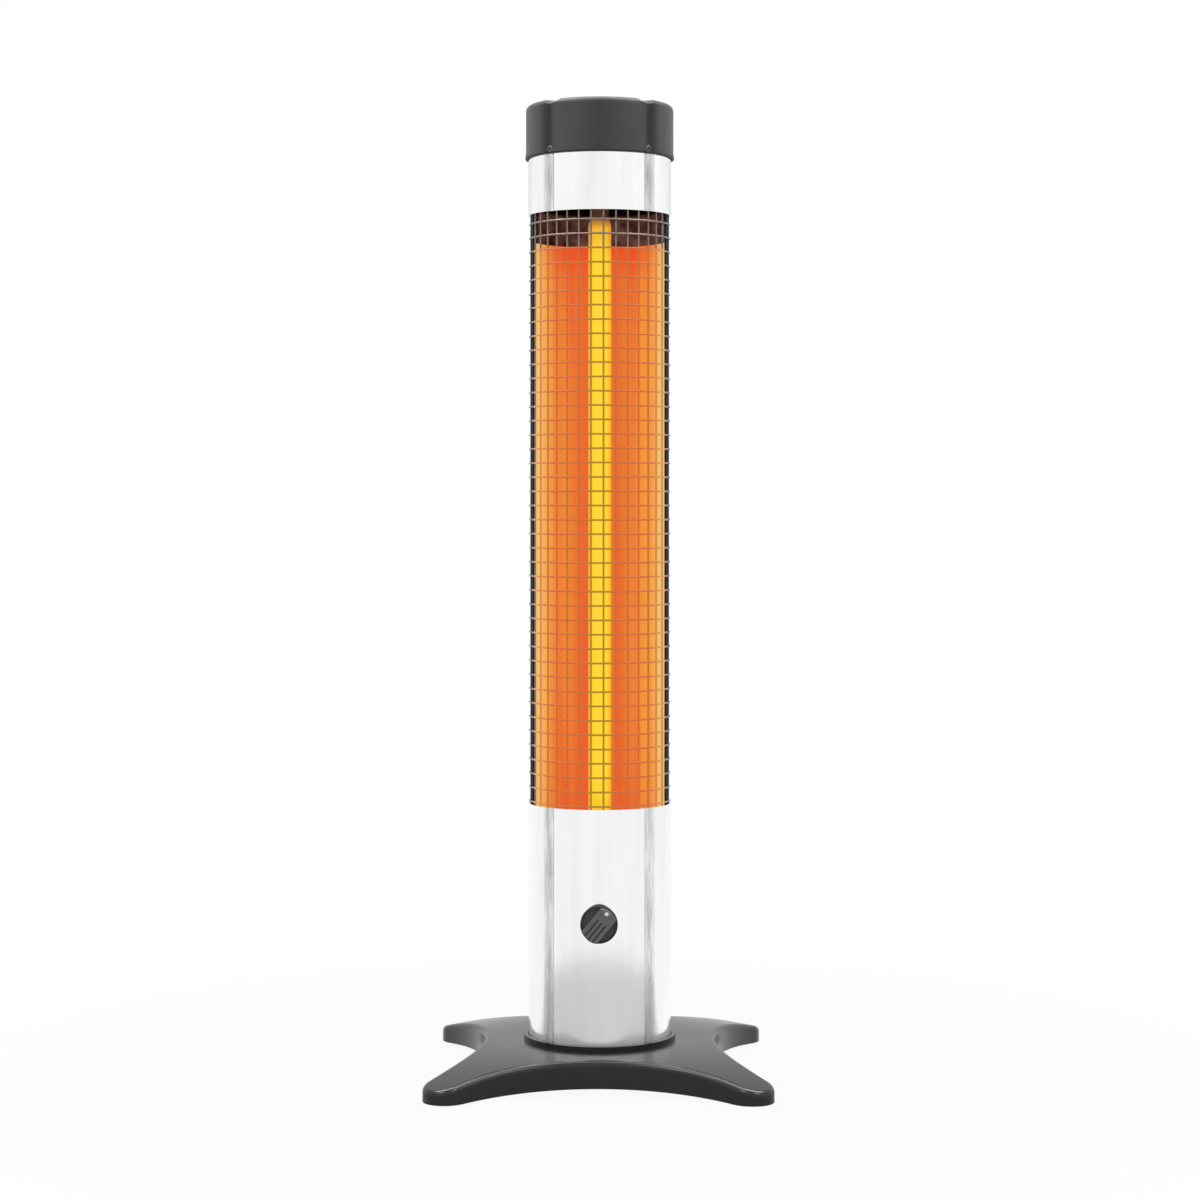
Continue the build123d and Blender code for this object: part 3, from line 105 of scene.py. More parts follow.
class Finish:
    # the node tree of a material or a world being made
    def __init__(self, owner):
        owner.use_nodes = True
        self.owner = owner
        self.tree = owner.node_tree
        self.tree.nodes.clear()

    def node(self, kind, settings, inputs, output=0):
        # any node: its type, its settings, then the values or links of its sockets
        made = self.tree.nodes.new(kind)
        for setting, value in settings.items():
            if setting == "stops":
                self.setStops(made.color_ramp.elements, value)
            else:
                setattr(made, setting, value)
        for socket, value in inputs.items():
            if isinstance(value, Value):
                self.tree.links.new(value.socket, made.inputs[socket])
            else:
                made.inputs[socket].default_value = value
        return Value(self, made.outputs[output]) if len(made.outputs) else None

    def setStops(self, elements, stops):
        # the first two stops are the ramp's ends, which a new ramp already has
        for place, colour in stops[2:]:
            elements.new(place).color = (*colour, 1)
        for element, (place, colour) in zip((elements[0], elements[-1]), stops[:2]):
            element.position = place
            element.color = (*colour, 1)

    def point(self, stretch=(1, 1, 1)):
        # the place on the piece in metres, stretched
        place = self.node("ShaderNodeTexCoord", {}, {}, "Object")
        return self.node("ShaderNodeMapping", {}, {"Vector": place, "Scale": stretch})

    def axes(self):
        split = self.node("ShaderNodeSeparateXYZ", {}, {0: self.point()})
        return [Value(self, socket) for socket in split.socket.node.outputs]

    def noise(self, scale, stretch=(1, 1, 1), detail=3.0, roughness=0.55):
        # the looks below give a pattern as these values in a row
        return self.node("ShaderNodeTexNoise", {}, {"Vector": self.point(stretch), "Scale": scale,
                                                    "Detail": detail, "Roughness": roughness})

    def mix(self, factor, low, high):
        # the low colour where the factor is 0, the high colour where it is 1
        low = low if isinstance(low, Value) else (*low, 1)
        high = high if isinstance(high, Value) else (*high, 1)
        return self.node("ShaderNodeMix", {"data_type": "RGBA"}, {0: factor, 6: low, 7: high}, 2)

    def ramp(self, value, stops):
        # colours along a value from 0 to 1
        return self.node("ShaderNodeValToRGB", {"stops": stops}, {0: value})

    def bump(self, height, strength, distance):
        # the looks below give the strength and the distance in metres
        return self.node("ShaderNodeBump", {}, {"Height": height, "Strength": strength,
                                                "Distance": distance})

    def ray(self, kind):
        return self.node("ShaderNodeLightPath", {}, {}, kind)

    def shinyRay(self):
        return (self.ray("Is Glossy Ray") + self.ray("Is Transmission Ray")).clipped()

    def surface(self, sockets):
        shader = self.node("ShaderNodeBsdfPrincipled", {}, sockets)
        self.node("ShaderNodeOutputMaterial", {}, {"Surface": shader})
        return self.owner


def newFinish(name):
    return Finish(bpy.data.materials.new(name))


def dress(finish, *names):
    # gives CAD nodes their finish
    for name in names:
        nodes[name].data.materials.clear()
        nodes[name].data.materials.append(finish)


# Meshes from arrays

meshLimits = {"merge": 1e-7, "sliver": 1e-8}  # metres


def gridFaces(rows, columns):
    # quads of a grid of points whose last column joins its first
    row, column = np.meshgrid(np.arange(rows - 1), np.arange(columns), indexing="ij")
    after = (column + 1) % columns
    return np.stack([row * columns + column, row * columns + after, (row + 1) * columns + after,
                     (row + 1) * columns + column], axis=-1).reshape(-1, 4)


def makePiece(name, sheets, body, finish, replaced):
    # one object from several grids of shape (rows, columns, 3), each closed round its columns
    points = np.concatenate([sheet.reshape(-1, 3) for sheet in sheets])
    starts = np.cumsum([0] + [sheet.shape[0] * sheet.shape[1] for sheet in sheets[:-1]])
    faces = np.concatenate([gridFaces(sheet.shape[0], sheet.shape[1]) + start
                            for sheet, start in zip(sheets, starts)])
    mesh = bpy.data.meshes.new(name)
    mesh.from_pydata(points.tolist(), [], faces.tolist())
    shape = bmesh.new()
    shape.from_mesh(mesh)
    bmesh.ops.remove_doubles(shape, verts=shape.verts, dist=meshLimits["merge"])
    bmesh.ops.dissolve_degenerate(shape, edges=shape.edges, dist=meshLimits["sliver"])
    bmesh.ops.recalc_face_normals(shape, faces=shape.faces)
    for face in shape.faces:
        face.smooth = True
    shape.to_mesh(mesh)
    shape.free()
    mesh.materials.append(finish)
    piece = bpy.data.objects.new(name, mesh)
    bpy.context.scene.collection.objects.link(piece)
    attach(piece, body)
    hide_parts(*replaced)


def roundEnds(length, radius, steps, endSteps):
    # places along a rod and the radius at each: its two ends are quarter circles
    turn = np.linspace(0, pi / 2, endSteps, endpoint=False)
    start = radius * (1 - np.cos(turn))
    rise = radius * np.sin(turn)
    middle = np.linspace(radius, length - radius, steps)
    places = np.concatenate([start, middle, (length - start)[::-1]])
    radii = np.concatenate([rise, np.full(steps, radius), rise[::-1]])
    return places, radii


# Finishes of the column

grooveAngle = radians(41.0)  # from straight ahead and from straight behind

silverLook = {
    "light": (0.97, 0.975, 0.98),
    "dark": (0.80, 0.805, 0.81),
    "lines": (900.0, (1, 1, 0.012), 2.0),
    "bands": (70.0, (1, 1, 0.05), 2.0),
    "mottle": (16.0, (1, 1, 0.4), 3.0),
    "shares": (0.2, 1.1, 1.2),  # of lines, bands and mottle in the shade
    "shadeStart": 0.62,
    "streak": (0.26, 0.265, 0.27),  # painted shade, speckled, on the sheet beside the four folded grooves
    "streakHalf": radians(6.5),
    "streakShift": radians(3.0),
    "streakSoft": 0.6,
    "speckle": (420.0, (1, 1, 0.10), 4.0, 0.7),
    "cloud": (30.0, (1, 1, 0.5), 2.0),
    "grooveShadeShares": (1.5, 1.1),  # of speckle and cloud in the streak
    "grooveShadeStart": 0.85,
    "rough": 0.09,
    "lineRough": 0.06,
    "grooveShadeRough": 0.25,
    "bump": (0.06, 0.00005),
}


def besideGroove(finish, half, shift):
    # 1 a shift outside the nearest of the four grooves, falling to 0 a half angle to either side
    x, y = finish.axes()[:2]
    angle = x.size().angleFrom(y.size())
    return (1 - ((angle - grooveAngle - shift) / half).size()).clipped()


def makeSilver():
    # drawn sheet: fine lines up and down the column over a faint mottle, with speckled painted shade
    # beside the grooves
    finish = newFinish("silverSheet")
    lines = finish.noise(*silverLook["lines"])
    bands = finish.noise(*silverLook["bands"])
    mottle = finish.noise(*silverLook["mottle"])
    lineShare, bandShare, mottleShare = silverLook["shares"]
    shade = lineShare * lines + bandShare * bands + mottleShare * mottle - silverLook["shadeStart"]
    sheet = finish.mix(shade.clipped(), silverLook["dark"], silverLook["light"])
    speckleShare, cloudShare = silverLook["grooveShadeShares"]
    paintedShading = (speckleShare * finish.noise(*silverLook["speckle"])
              + cloudShare * finish.noise(*silverLook["cloud"]) - silverLook["grooveShadeStart"])
    # painted shade beside the grooves, broken up by the speckle and the cloud
    beside = besideGroove(finish, silverLook["streakHalf"], silverLook["streakShift"])
    paintedGrooveShade = (beside ** silverLook["streakSoft"] * paintedShading).clipped()
    roughness = silverLook["rough"] + silverLook["lineRough"] * lines + silverLook["grooveShadeRough"] * paintedGrooveShade
    return finish.surface({"Base Color": finish.mix(paintedGrooveShade, sheet, silverLook["streak"]),
                           "Metallic": 1.0,
                           "Roughness": roughness,
                           "Normal": finish.bump(lines, *silverLook["bump"])})


capLook = {
    "light": (0.085, 0.085, 0.086),
    "dark": (0.055, 0.055, 0.056),
    "shade": (0.012, 0.012, 0.013),
    "skirt": 0.0540,  # radius outside which the cap's skirt begins
    "skirtFade": 0.003,
    "rim": 0.0035,  # height of the rounded top edge, painted darker as shade
    "lip": 0.0013,  # height of the dark line along the lower edge
    "lipFade": 0.0004,
    "grooveHalf": radians(9.0),
    "grooveShift": radians(4.0),
    "middleHalf": radians(30.0),  # the stretch at the front and at the back, painted darker as shade
    "grooveShare": 0.9,
    "middleShare": 0.5,
    "rimShare": 0.9,
    "cloud": (22.0, (1, 1, 1), 4.0),
    "grain": (1400.0, (1, 1, 1), 2.0),
    "rough": 0.36,
    "cloudRough": 0.14,
    "shadeRough": 0.12,
    "rimRough": 0.5,
    "gloss": 0.22,
    "bump": (0.25, 0.0001),
}


def makeCapMoulding():
    # black moulding with a fine leathery grain, with painted shade beside its grooves, at its front and
    # back and on its rounded top edge
    finish = newFinish("capMoulding")
    grain = finish.noise(*capLook["grain"])
    cloud = finish.noise(*capLook["cloud"])
    low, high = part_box("top_cap")
    x, y, z = finish.axes()
    middle = (1 - x.size().angleFrom(y.size()) / capLook["middleHalf"]).clipped()
    beside = besideGroove(finish, capLook["grooveHalf"], capLook["grooveShift"])
    skirt = (((x * x + y * y) ** 0.5 - capLook["skirt"]) / capLook["skirtFade"]).clipped()
    # painted shade on the rounded top edge of the skirt
    rim = ((z - high.z) / capLook["rim"] + 1).clipped() * skirt
    lip = ((low.z + capLook["lip"] - z) / capLook["lipFade"]).clipped()
    # painted shade beside the grooves and at the front and back of the skirt
    upright = skirt * (capLook["grooveShare"] * beside + capLook["middleShare"] * middle)
    shade = (upright + capLook["rimShare"] * rim + lip).clipped()
    plain = finish.mix(cloud, capLook["dark"], capLook["light"])
    roughness = capLook["rough"] + capLook["cloudRough"] * cloud + capLook["shadeRough"] * shade
    return finish.surface({"Base Color": finish.mix(shade, plain, capLook["shade"]),
                           "Roughness": roughness + capLook["rimRough"] * rim,
                           "Specular IOR Level": capLook["gloss"],
                           "Normal": finish.bump(grain, *capLook["bump"])})


baseLook = {"light": (0.010, 0.010, 0.011), "dark": (0.005, 0.005, 0.006), "rough": 0.14,
            "grain": (1600.0, (1, 1, 1), 2.0), "gloss": 0.45}
mouldingLook = {"light": (0.030, 0.030, 0.031), "dark": (0.016, 0.016, 0.017), "rough": 0.34,
                "grain": (1400.0, (1, 1, 1), 2.0), "gloss": 0.5}
mouldingSkin = {"cloud": (22.0, (1, 1, 1), 4.0), "cloudRough": 0.10, "grainRough": 0.05,
                "bump": (0.18, 0.0001)}


def makeMoulding(name, look):
    # black moulding with a fine leathery grain and slight cloudiness
    finish = newFinish(name)
    grain = finish.noise(*look["grain"])
    cloud = finish.noise(*mouldingSkin["cloud"])
    roughness = look["rough"] + mouldingSkin["cloudRough"] * cloud + mouldingSkin["grainRough"] * grain
    return finish.surface({"Base Color": finish.mix(cloud, look["dark"], look["light"]),
                           "Roughness": roughness,
                           "Specular IOR Level": look["gloss"],
                           "Normal": finish.bump(grain, *mouldingSkin["bump"])})


knobLook = {
    "hollow": (0.055, 0.055, 0.056),
    "rim": (0.006, 0.006, 0.006),
    "paintedLitRidge": (0.110, 0.110, 0.112),
    "ridgeDepth": 0.0007,  # this and the next depths are behind the knob's front face
    "rimDepth": 0.0085,
    "hollowDepth": 0.0100,
    "wallStart": 0.0020,
    "wallMiddle": 0.0045,
    "wallHalf": 0.0040,
    "edge": 0.0150,  # radius where the painted shade on the knob's outer edge begins
    "edgeFade": 0.0004,
    "paintedShading": 0.75,  # share of the painted light's colour on the ridge
    "cloudShading": 0.4,  # what the cloud adds to it
    "cloud": (160.0, (1, 1, 1), 4.0),
    "grain": (2000.0, (1, 1, 1), 2.0),
    "rough": 0.38,
    "cloudRough": 0.15,
    "edgeRough": 0.3,
    "bump": (0.2, 0.00008),
}


def makeKnobMoulding():
    # black moulding: painted light on its front ridges, painted shade at the foot of its walls and on its
    # outer edge
    finish = newFinish("knobMoulding")
    low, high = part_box("knob")
    grain = finish.noise(*knobLook["grain"])
    cloud = finish.noise(*knobLook["cloud"])
    x, y, z = finish.axes()
    depth = y - low.y
    # painted shade at the foot of the walls, around the rim's depth
    rim = 1 - (depth - knobLook["rimDepth"]) / (knobLook["hollowDepth"] - knobLook["rimDepth"])
    wall = ((depth / knobLook["wallStart"]).clipped()
            * (1 - ((depth - knobLook["wallMiddle"]) / knobLook["wallHalf"]).size()).clipped())
    hollow = finish.mix(rim.clipped() * (1 - wall), knobLook["hollow"], knobLook["rim"])
    # painted light on the front ridges
    paintedLitRidge = (1 - depth / knobLook["ridgeDepth"]).clipped()
    paintedShading = paintedLitRidge * (knobLook["paintedShading"] + knobLook["cloudShading"] * cloud)
    face = finish.mix(paintedShading, hollow, knobLook["paintedLitRidge"])
    rise = z - (low.z + high.z) / 2
    # painted shade on the outer edge
    edge = (((x * x + rise * rise) ** 0.5 - knobLook["edge"]) / knobLook["edgeFade"]).clipped()
    roughness = knobLook["rough"] + knobLook["cloudRough"] * cloud + knobLook["edgeRough"] * edge
    return finish.surface({"Base Color": finish.mix(edge, face, knobLook["rim"]),
                           "Roughness": roughness,
                           "Normal": finish.bump(grain, *knobLook["bump"])})


paintLook = {"light": (0.007, 0.006, 0.006), "dark": (0.003, 0.003, 0.003), "cloud": 30.0,
             "speck": (2200.0, (1, 1, 1), 2.0), "rough": 0.6, "speckRough": 0.15, "gloss": 0.12,
             "bump": (0.15, 0.00005)}


def makeDarkPaint():
    # dull black heat-proof paint with a fine speck
    finish = newFinish("blackHeatPaint")
    speck = finish.noise(*paintLook["speck"])
    cloud = finish.noise(paintLook["cloud"])
    return finish.surface({"Base Color": finish.mix(cloud, paintLook["dark"], paintLook["light"]),
                           "Roughness": paintLook["rough"] + paintLook["speckRough"] * speck,
                           "Specular IOR Level": paintLook["gloss"],
                           "Normal": finish.bump(speck, *paintLook["bump"])})


steelLook = {"light": (0.62, 0.62, 0.63), "dark": (0.42, 0.42, 0.43), "rough": 0.3}
blackSteelLook = {"light": (0.14, 0.14, 0.14), "dark": (0.06, 0.06, 0.06), "rough": 0.32}
galvanisedLook = {"light": (0.48, 0.49, 0.50), "dark": (0.30, 0.31, 0.32), "rough": 0.4}
platingSkin = {"scratch": (1800.0, (1, 0.08, 0.4), 2.0), "stain": 60.0, "scratchRough": 0.12,
               "bump": (0.1, 0.00003)}


def makeSteel(name, look):
    # plated metal, slightly scratched
    finish = newFinish(name)
    scratch = finish.noise(*platingSkin["scratch"])
    stain = finish.noise(platingSkin["stain"])
    return finish.surface({"Base Color": finish.mix(stain, look["dark"], look["light"]),
                           "Metallic": 1.0,
                           "Roughness": look["rough"] + platingSkin["scratchRough"] * scratch,
                           "Normal": finish.bump(scratch, *platingSkin["bump"])})


# Finishes of the heating part

reflectorLow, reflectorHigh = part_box("reflector")
paintedGlowLook = {
    "across": [(0.30, (0.765, 0.160, 0.030)), (0.94, (0.86, 0.60, 0.18)),  # by share of the half width
               (0.55, (0.83, 0.245, 0.034)), (0.74, (0.85, 0.35, 0.05)), (0.84, (0.875, 0.50, 0.11))],
    "ends": (0.80, 0.105, 0.026),  # top and bottom of the reflector
    "endReach": 0.15,
    "endFall": 2.0,
    "footMargin": 0.012,  # height of the reflector's foot that the lower cover hides
    "streak": (260.0, (1, 1, 0.03), 3.0),
    "band": (75.0, (1, 1, 0.02), 2.0),
    "shares": (0.7, 0.9, 2.8),  # of ends, streak and band in the redder glow
    "redStart": 1.68,
    "paleStart": 0.5,  # share of the half width outside which the red is held back
    "paleFade": 0.4,
    "paleShare": 0.85,
    "blush": (0.83, 0.050, 0.018),  # close under the top edge
    "blushReach": 0.030,
    "blushShare": 0.75,
    "strength": 0.93,
    "sheet": (0.10, 0.035, 0.012),
    "metal": 0.6,
    "rough": 0.35,
    "streakRough": 0.1,
}


def makeReflector():
    # polished sheet with the tube's light painted on as emission: redder beside the tube and at the ends,
    # paler at the edges
    finish = newFinish("reflectorPaintedGlow")
    x, y, z = finish.axes()
    share = (x / reflectorHigh.x).size()
    fromTop = reflectorHigh.z - z
    fromEnd = (z - (reflectorLow.z + paintedGlowLook["footMargin"])).least(fromTop)
    nearEnd = (1 - fromEnd / paintedGlowLook["endReach"]).clipped() ** paintedGlowLook["endFall"]
    streak = finish.noise(*paintedGlowLook["streak"])
    band = finish.noise(*paintedGlowLook["band"])
    endShare, streakShare, bandShare = paintedGlowLook["shares"]
    redder = endShare * nearEnd + streakShare * streak + bandShare * band - paintedGlowLook["redStart"]
    inner = 1 - paintedGlowLook["paleShare"] * ((share - paintedGlowLook["paleStart"]) / paintedGlowLook["paleFade"]).clipped()
    # the tube's light painted on as emission colour
    glow = finish.mix(redder.clipped() * inner, finish.ramp(share, paintedGlowLook["across"]), paintedGlowLook["ends"])
    nearTop = (1 - fromTop / paintedGlowLook["blushReach"]).clipped()
    glow = finish.mix(paintedGlowLook["blushShare"] * nearTop * inner, glow, paintedGlowLook["blush"])
    return finish.surface({"Base Color": (*paintedGlowLook["sheet"], 1),
                           "Metallic": paintedGlowLook["metal"],
                           "Roughness": paintedGlowLook["rough"] + paintedGlowLook["streakRough"] * streak,
                           "Emission Color": glow,
                           "Emission Strength": paintedGlowLook["strength"]})


tubeLook = {
    "core": (0.95, 0.70, 0.004),
    "pale": (0.93, 0.60, 0.035),
    "streak": (330.0, (1, 1, 0.02), 2.0),
    "streakShare": 1.6,
    "streakStart": 0.3,
    "edge": (0.82, 0.34, 0.02),
    "edgeStart": 0.66,  # share of the half width
    "edgeRise": 2.6,
    "cooler": 0.035,  # length at each end that turns to the edge's colour
    "coolerShare": 0.8,
    "neck": (0.26, 0.085, 0.045),
    "neckLength": 0.010,
    "shoulder": 0.009,
    "quartz": (0.12, 0.06, 0.01),
    "rough": 0.25,
    "gloss": 0.3,
    "strength": 0.97,
}


def makeGlowingTube():
    # quartz filled with the element's light: fine upright streaks, amber sides, brown necks
    finish = newFinish("glowingQuartz")
    low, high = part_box("quartz_tube")
    x, y, z = finish.axes()
    streak = tubeLook["streakShare"] * finish.noise(*tubeLook["streak"]) - tubeLook["streakStart"]
    body = finish.mix(streak.clipped(), tubeLook["pale"], tubeLook["core"])
    side = ((x / high.x).size() - tubeLook["edgeStart"]).clipped() * tubeLook["edgeRise"]
    fromNeck = (z - low.z).least(high.z - z) - tubeLook["neckLength"]
    cooler = tubeLook["coolerShare"] * (1 - fromNeck / tubeLook["cooler"]).clipped()
    lit = finish.mix((side + cooler).clipped(), body, tubeLook["edge"])
    neck = (1 - fromNeck / tubeLook["shoulder"]).clipped()
    return finish.surface({"Base Color": (*tubeLook["quartz"], 1),
                           "Roughness": tubeLook["rough"],
                           "Specular IOR Level": tubeLook["gloss"],
                           "Emission Color": finish.mix(neck, lit, tubeLook["neck"]),
                           "Emission Strength": tubeLook["strength"]})


weaveLook = {"strip": (0.1, 0.08, 0.06), "between": (0.9, 0.25, 0.02), "fibre": (1.0, 0.75, 0.2),
             "threads": 6000.0, "rough": 0.7}


def makeWeave():
    # carbon strip: crossed fibres glowing orange
    finish = newFinish("glowingCarbon")
    x, y, z = finish.axes()
    weave = (x * weaveLook["threads"]).sine() * (z * weaveLook["threads"]).sine()
    glow = finish.mix((0.5 + 0.5 * weave).clipped(), weaveLook["between"], weaveLook["fibre"])
    return finish.surface({"Base Color": (*weaveLook["strip"], 1),
                           "Roughness": weaveLook["rough"],
                           "Emission Color": glow,
                           "Emission Strength": 1.0})


wireLook = {
    "light": (0.34, 0.27, 0.24),
    "dark": (0.17, 0.12, 0.10),
    "stain": (260.0, (1, 1, 1), 2.0),
    "lit": (0.10, 0.04, 0.02),  # the wire's colour where the glow is painted on
    "overTube": (0.34, 0.18, 0.008),  # painted glow in front of the tube
    "overSheet": (0.52, 0.105, 0.018),
    "overEdge": (0.60, 0.29, 0.09),
    "tubeHalf": 0.0105,
    "tubeFade": 0.002,
    "edgeStart": 0.725,  # share of the reflector's half width
    "edgeFade": 0.25,
    "unlit": 0.0215,  # behind this depth in front of the axis the wires lie over the black rails
    "unlitFade": 0.006,
    "dimTop": 0.007,  # below the reflector's top edge, where the glow on the wires ends
    "dimFade": 0.004,
    "metal": 0.7,
    "gloss": 0.2,
    "rough": 0.35,
    "stainRough": 0.1,
    "bump": (0.1, 0.00003),
}


def makeGuardWire():
    # plated wire with the reflector's glow painted on as emission, darker and less metallic, from just
    # below the reflector's top downwards
    finish = newFinish("guardWireSteel")
    x, y, z = finish.axes()
    stain = finish.noise(*wireLook["stain"])
    # where the glow is painted on the wires: below the reflector's top and in front of the rails
    below = ((reflectorHigh.z - wireLook["dimTop"] - z) / wireLook["dimFade"] + 0.5).clipped()
    bathed = below * ((0 - y - wireLook["unlit"]) / wireLook["unlitFade"]).clipped()
    beside = ((x.size() - wireLook["tubeHalf"]) / wireLook["tubeFade"]).clipped()
    share = (x / reflectorHigh.x).size()
    outer = ((share - wireLook["edgeStart"]) / wireLook["edgeFade"]).clipped()
    glow = finish.mix(beside, wireLook["overTube"], wireLook["overSheet"])
    glow = finish.mix(outer, glow, wireLook["overEdge"])
    plain = finish.mix(stain, wireLook["dark"], wireLook["light"])
    return finish.surface({"Base Color": finish.mix(bathed, plain, wireLook["lit"]),
                           "Metallic": wireLook["metal"] * (1 - bathed),
                           "Specular IOR Level": wireLook["gloss"],
                           "Roughness": wireLook["rough"] + wireLook["stainRough"] * stain,
                           "Emission Color": finish.mix(bathed, (0, 0, 0), glow),
                           "Emission Strength": 1.0,
                           "Normal": finish.bump(stain, *wireLook["bump"])})


shieldLook = {
    "dark": (0.028, 0.012, 0.010),
    "light": (0.075, 0.036, 0.030),
    "stain": (45.0, (1, 1, 0.4), 5.0, 0.65),
    "stainShare": 1.8,
    "stainStart": 0.4,
    "cool": (0.004, 0.001, 0.001),  # faint painted glow between the warm patches
    "warm": (0.110, 0.048, 0.036),
    "patch": 75.0,
    "patchShare": 3.0,
    "patchStart": 1.05,
    "topShadow": (0.002, 0.002, 0.002),
    "topShadowStart": 0.003,  # above the upper cover's lower edge, where the painted shadow begins
    "topShadowFade": 0.003,
    "metal": 0.1,
    "gloss": 0.12,
    "rough": 0.5,
    "stainRough": 0.2,
    "bump": (0.1, 0.0001),
}


def makeHeatSheet():
    # dark sheet, brown in patches, with the tube's faint glow painted on as emission in patches, and
    # painted shadow black at the top under the upper cover
    finish = newFinish("patchedShieldSheet")
    x, y, z = finish.axes()
    stain = finish.noise(*shieldLook["stain"])
    brownPatch = (shieldLook["stainShare"] * stain - shieldLook["stainStart"]).clipped()
    plain = finish.mix(brownPatch, shieldLook["dark"], shieldLook["light"])
    # the tube's faint glow painted on as emission in patches
    patch = shieldLook["patchShare"] * finish.noise(shieldLook["patch"]) - shieldLook["patchStart"]
    warmth = finish.mix(patch.clipped(), shieldLook["cool"], shieldLook["warm"])
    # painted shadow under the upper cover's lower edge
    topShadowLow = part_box("upper_cover")[0].z + shieldLook["topShadowStart"]
    topShadow = ((z - topShadowLow) / shieldLook["topShadowFade"]).clipped()
    return finish.surface({"Base Color": finish.mix(topShadow, plain, shieldLook["topShadow"]),
                           "Metallic": shieldLook["metal"],
                           "Specular IOR Level": shieldLook["gloss"],
                           "Roughness": shieldLook["rough"] + shieldLook["stainRough"] * stain,
                           "Emission Color": finish.mix(topShadow, warmth, (0, 0, 0)),
                           "Emission Strength": 1.0,
                           "Normal": finish.bump(stain, *shieldLook["bump"])})


ceramicLook = {"dark": (0.22, 0.085, 0.045), "light": (0.38, 0.19, 0.11),
               "speck": (700.0, (1, 1, 1), 4.0), "rough": 0.55, "speckRough": 0.15,
               "bump": (0.2, 0.00005)}


def makeCeramic():
    # unglazed ceramic, speckled and browned
    finish = newFinish("steatite")
    speck = finish.noise(*ceramicLook["speck"])
    return finish.surface({"Base Color": finish.mix(speck, ceramicLook["dark"], ceramicLook["light"]),
                           "Roughness": ceramicLook["rough"] + ceramicLook["speckRough"] * speck,
                           "Normal": finish.bump(speck, *ceramicLook["bump"])})


# Plain finishes: the dark and the light colour of the grain, and the roughness

matteLooks = {
    "footRubber": ((0.012, 0.012, 0.012), (0.030, 0.030, 0.030), 0.7),
    "switchThermoset": ((0.020, 0.020, 0.022), (0.040, 0.040, 0.043), 0.45),
    "terminalInsulator": ((0.55, 0.53, 0.46), (0.72, 0.70, 0.62), 0.5),
    "redSleeve": ((0.30, 0.015, 0.012), (0.45, 0.03, 0.02), 0.45),
    "whiteSleeve": ((0.60, 0.60, 0.57), (0.75, 0.75, 0.72), 0.5),
    "greenSleeve": ((0.05, 0.22, 0.02), (0.10, 0.34, 0.04), 0.45),
    "whitePaint": ((0.70, 0.70, 0.68), (0.85, 0.85, 0.83), 0.4),
}
matteSkin = {"grain": 900.0, "grainRough": 0.12, "bump": (0.2, 0.00008)}


def makeMatte(name):
    # plain moulded, painted or rubbery skin
    dark, light, rough = matteLooks[name]
    finish = newFinish(name)
    grain = finish.noise(matteSkin["grain"])
    return finish.surface({"Base Color": finish.mix(grain, dark, light),
                           "Roughness": rough + matteSkin["grainRough"] * grain,
                           "Normal": finish.bump(grain, *matteSkin["bump"])})


guardSteel = makeGuardWire()

dress(makeSilver(), "lower_cover", "upper_cover", "rear_housing")
dress(makeCapMoulding(), "top_cap")
dress(makeMoulding("baseMoulding", baseLook), "base_cover")
dress(makeKnobMoulding(), "knob")
dress(makeMoulding("blackMoulding", mouldingLook),
      "cord_gland", "gland_locknut", "tip_plunger", "lower_end_plate", "upper_end_plate")
dress(makeDarkPaint(), "side_rail_left", "side_rail_right", "guard_band_lower", "guard_band_upper",
      "lower_baffle", "upper_baffle")
dress(makeSteel("blackScrew", blackSteelLook), "cap_screws")
dress(makeSteel("platedSteel", steelLook),
      "cover_screws", "base_plate_screws", "column_screws", "end_plate_screws", "tip_switch_screws",
      "tip_spring", "switch_shaft", "switch_nut", "earth_screw")
dress(makeSteel("galvanisedSheet", galvanisedLook),
      "base_plate", "switch_bracket", "terminal_plate", "lower_tube_bracket", "upper_tube_bracket")
dress(makeHeatSheet(), "heat_shield")
dress(makeReflector(), "reflector")
dress(makeGlowingTube(), "quartz_tube")
dress(makeWeave(), "carbon_element")
dress(guardSteel, "wire_guard")
dress(makeCeramic(), "lower_ceramic_end", "upper_ceramic_end")
dress(makeMatte("footRubber"),
      "foot_pad_front_left", "foot_pad_front_right", "foot_pad_rear_left", "foot_pad_rear_right")
dress(makeMatte("switchThermoset"), "rotary_switch", "tip_switch", "thermal_cutout")
dress(makeMatte("terminalInsulator"), "terminal_block")
dress(makeMatte("redSleeve"), "supply_lead", "switch_lead", "cutout_lead")
dress(makeMatte("whiteSleeve"), "tube_upper_lead", "tube_lower_lead")
dress(makeMatte("greenSleeve"), "earth_lead")
dress(makeMatte("whitePaint"), "knob_marker")
print("finishes made")


# Wire guard

guard = {
    "wireRadius": 0.0008,
    "pitch": 0.01225,
    "firstMargin": 0.0026,  # lowest crosswise wire above the lower cover
    "halfAngle": 83.0,  # degrees from straight ahead to a crosswise wire's end
    "uprights": 14,
    "uprightStep": 10.25,  # degrees
    "uprightShift": -1.5,
    "layerGap": 0.00005,  # between the crosswise and the upright wires
    "waver": 0.00012,
    "waverTurns": (2, 5),
    "sides": 8,
    "crossSteps": 72,
    "uprightSteps": 24,
    "endSteps": 3,
    "weldHalfSize": (0.0010, 0.0007, 0.0010),  # along the column's skin, outwards, upwards
    "weldSides": 6,
    "seed": 4,
}
spread = np.random.default_rng(guard["seed"])
guardLow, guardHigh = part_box("wire_guard")
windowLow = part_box("lower_cover")[1].z
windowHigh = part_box("upper_cover")[0].z
crossRadius = -guardLow.y - guard["wireRadius"]
uprightRadius = crossRadius - 2 * guard["wireRadius"] - guard["layerGap"]
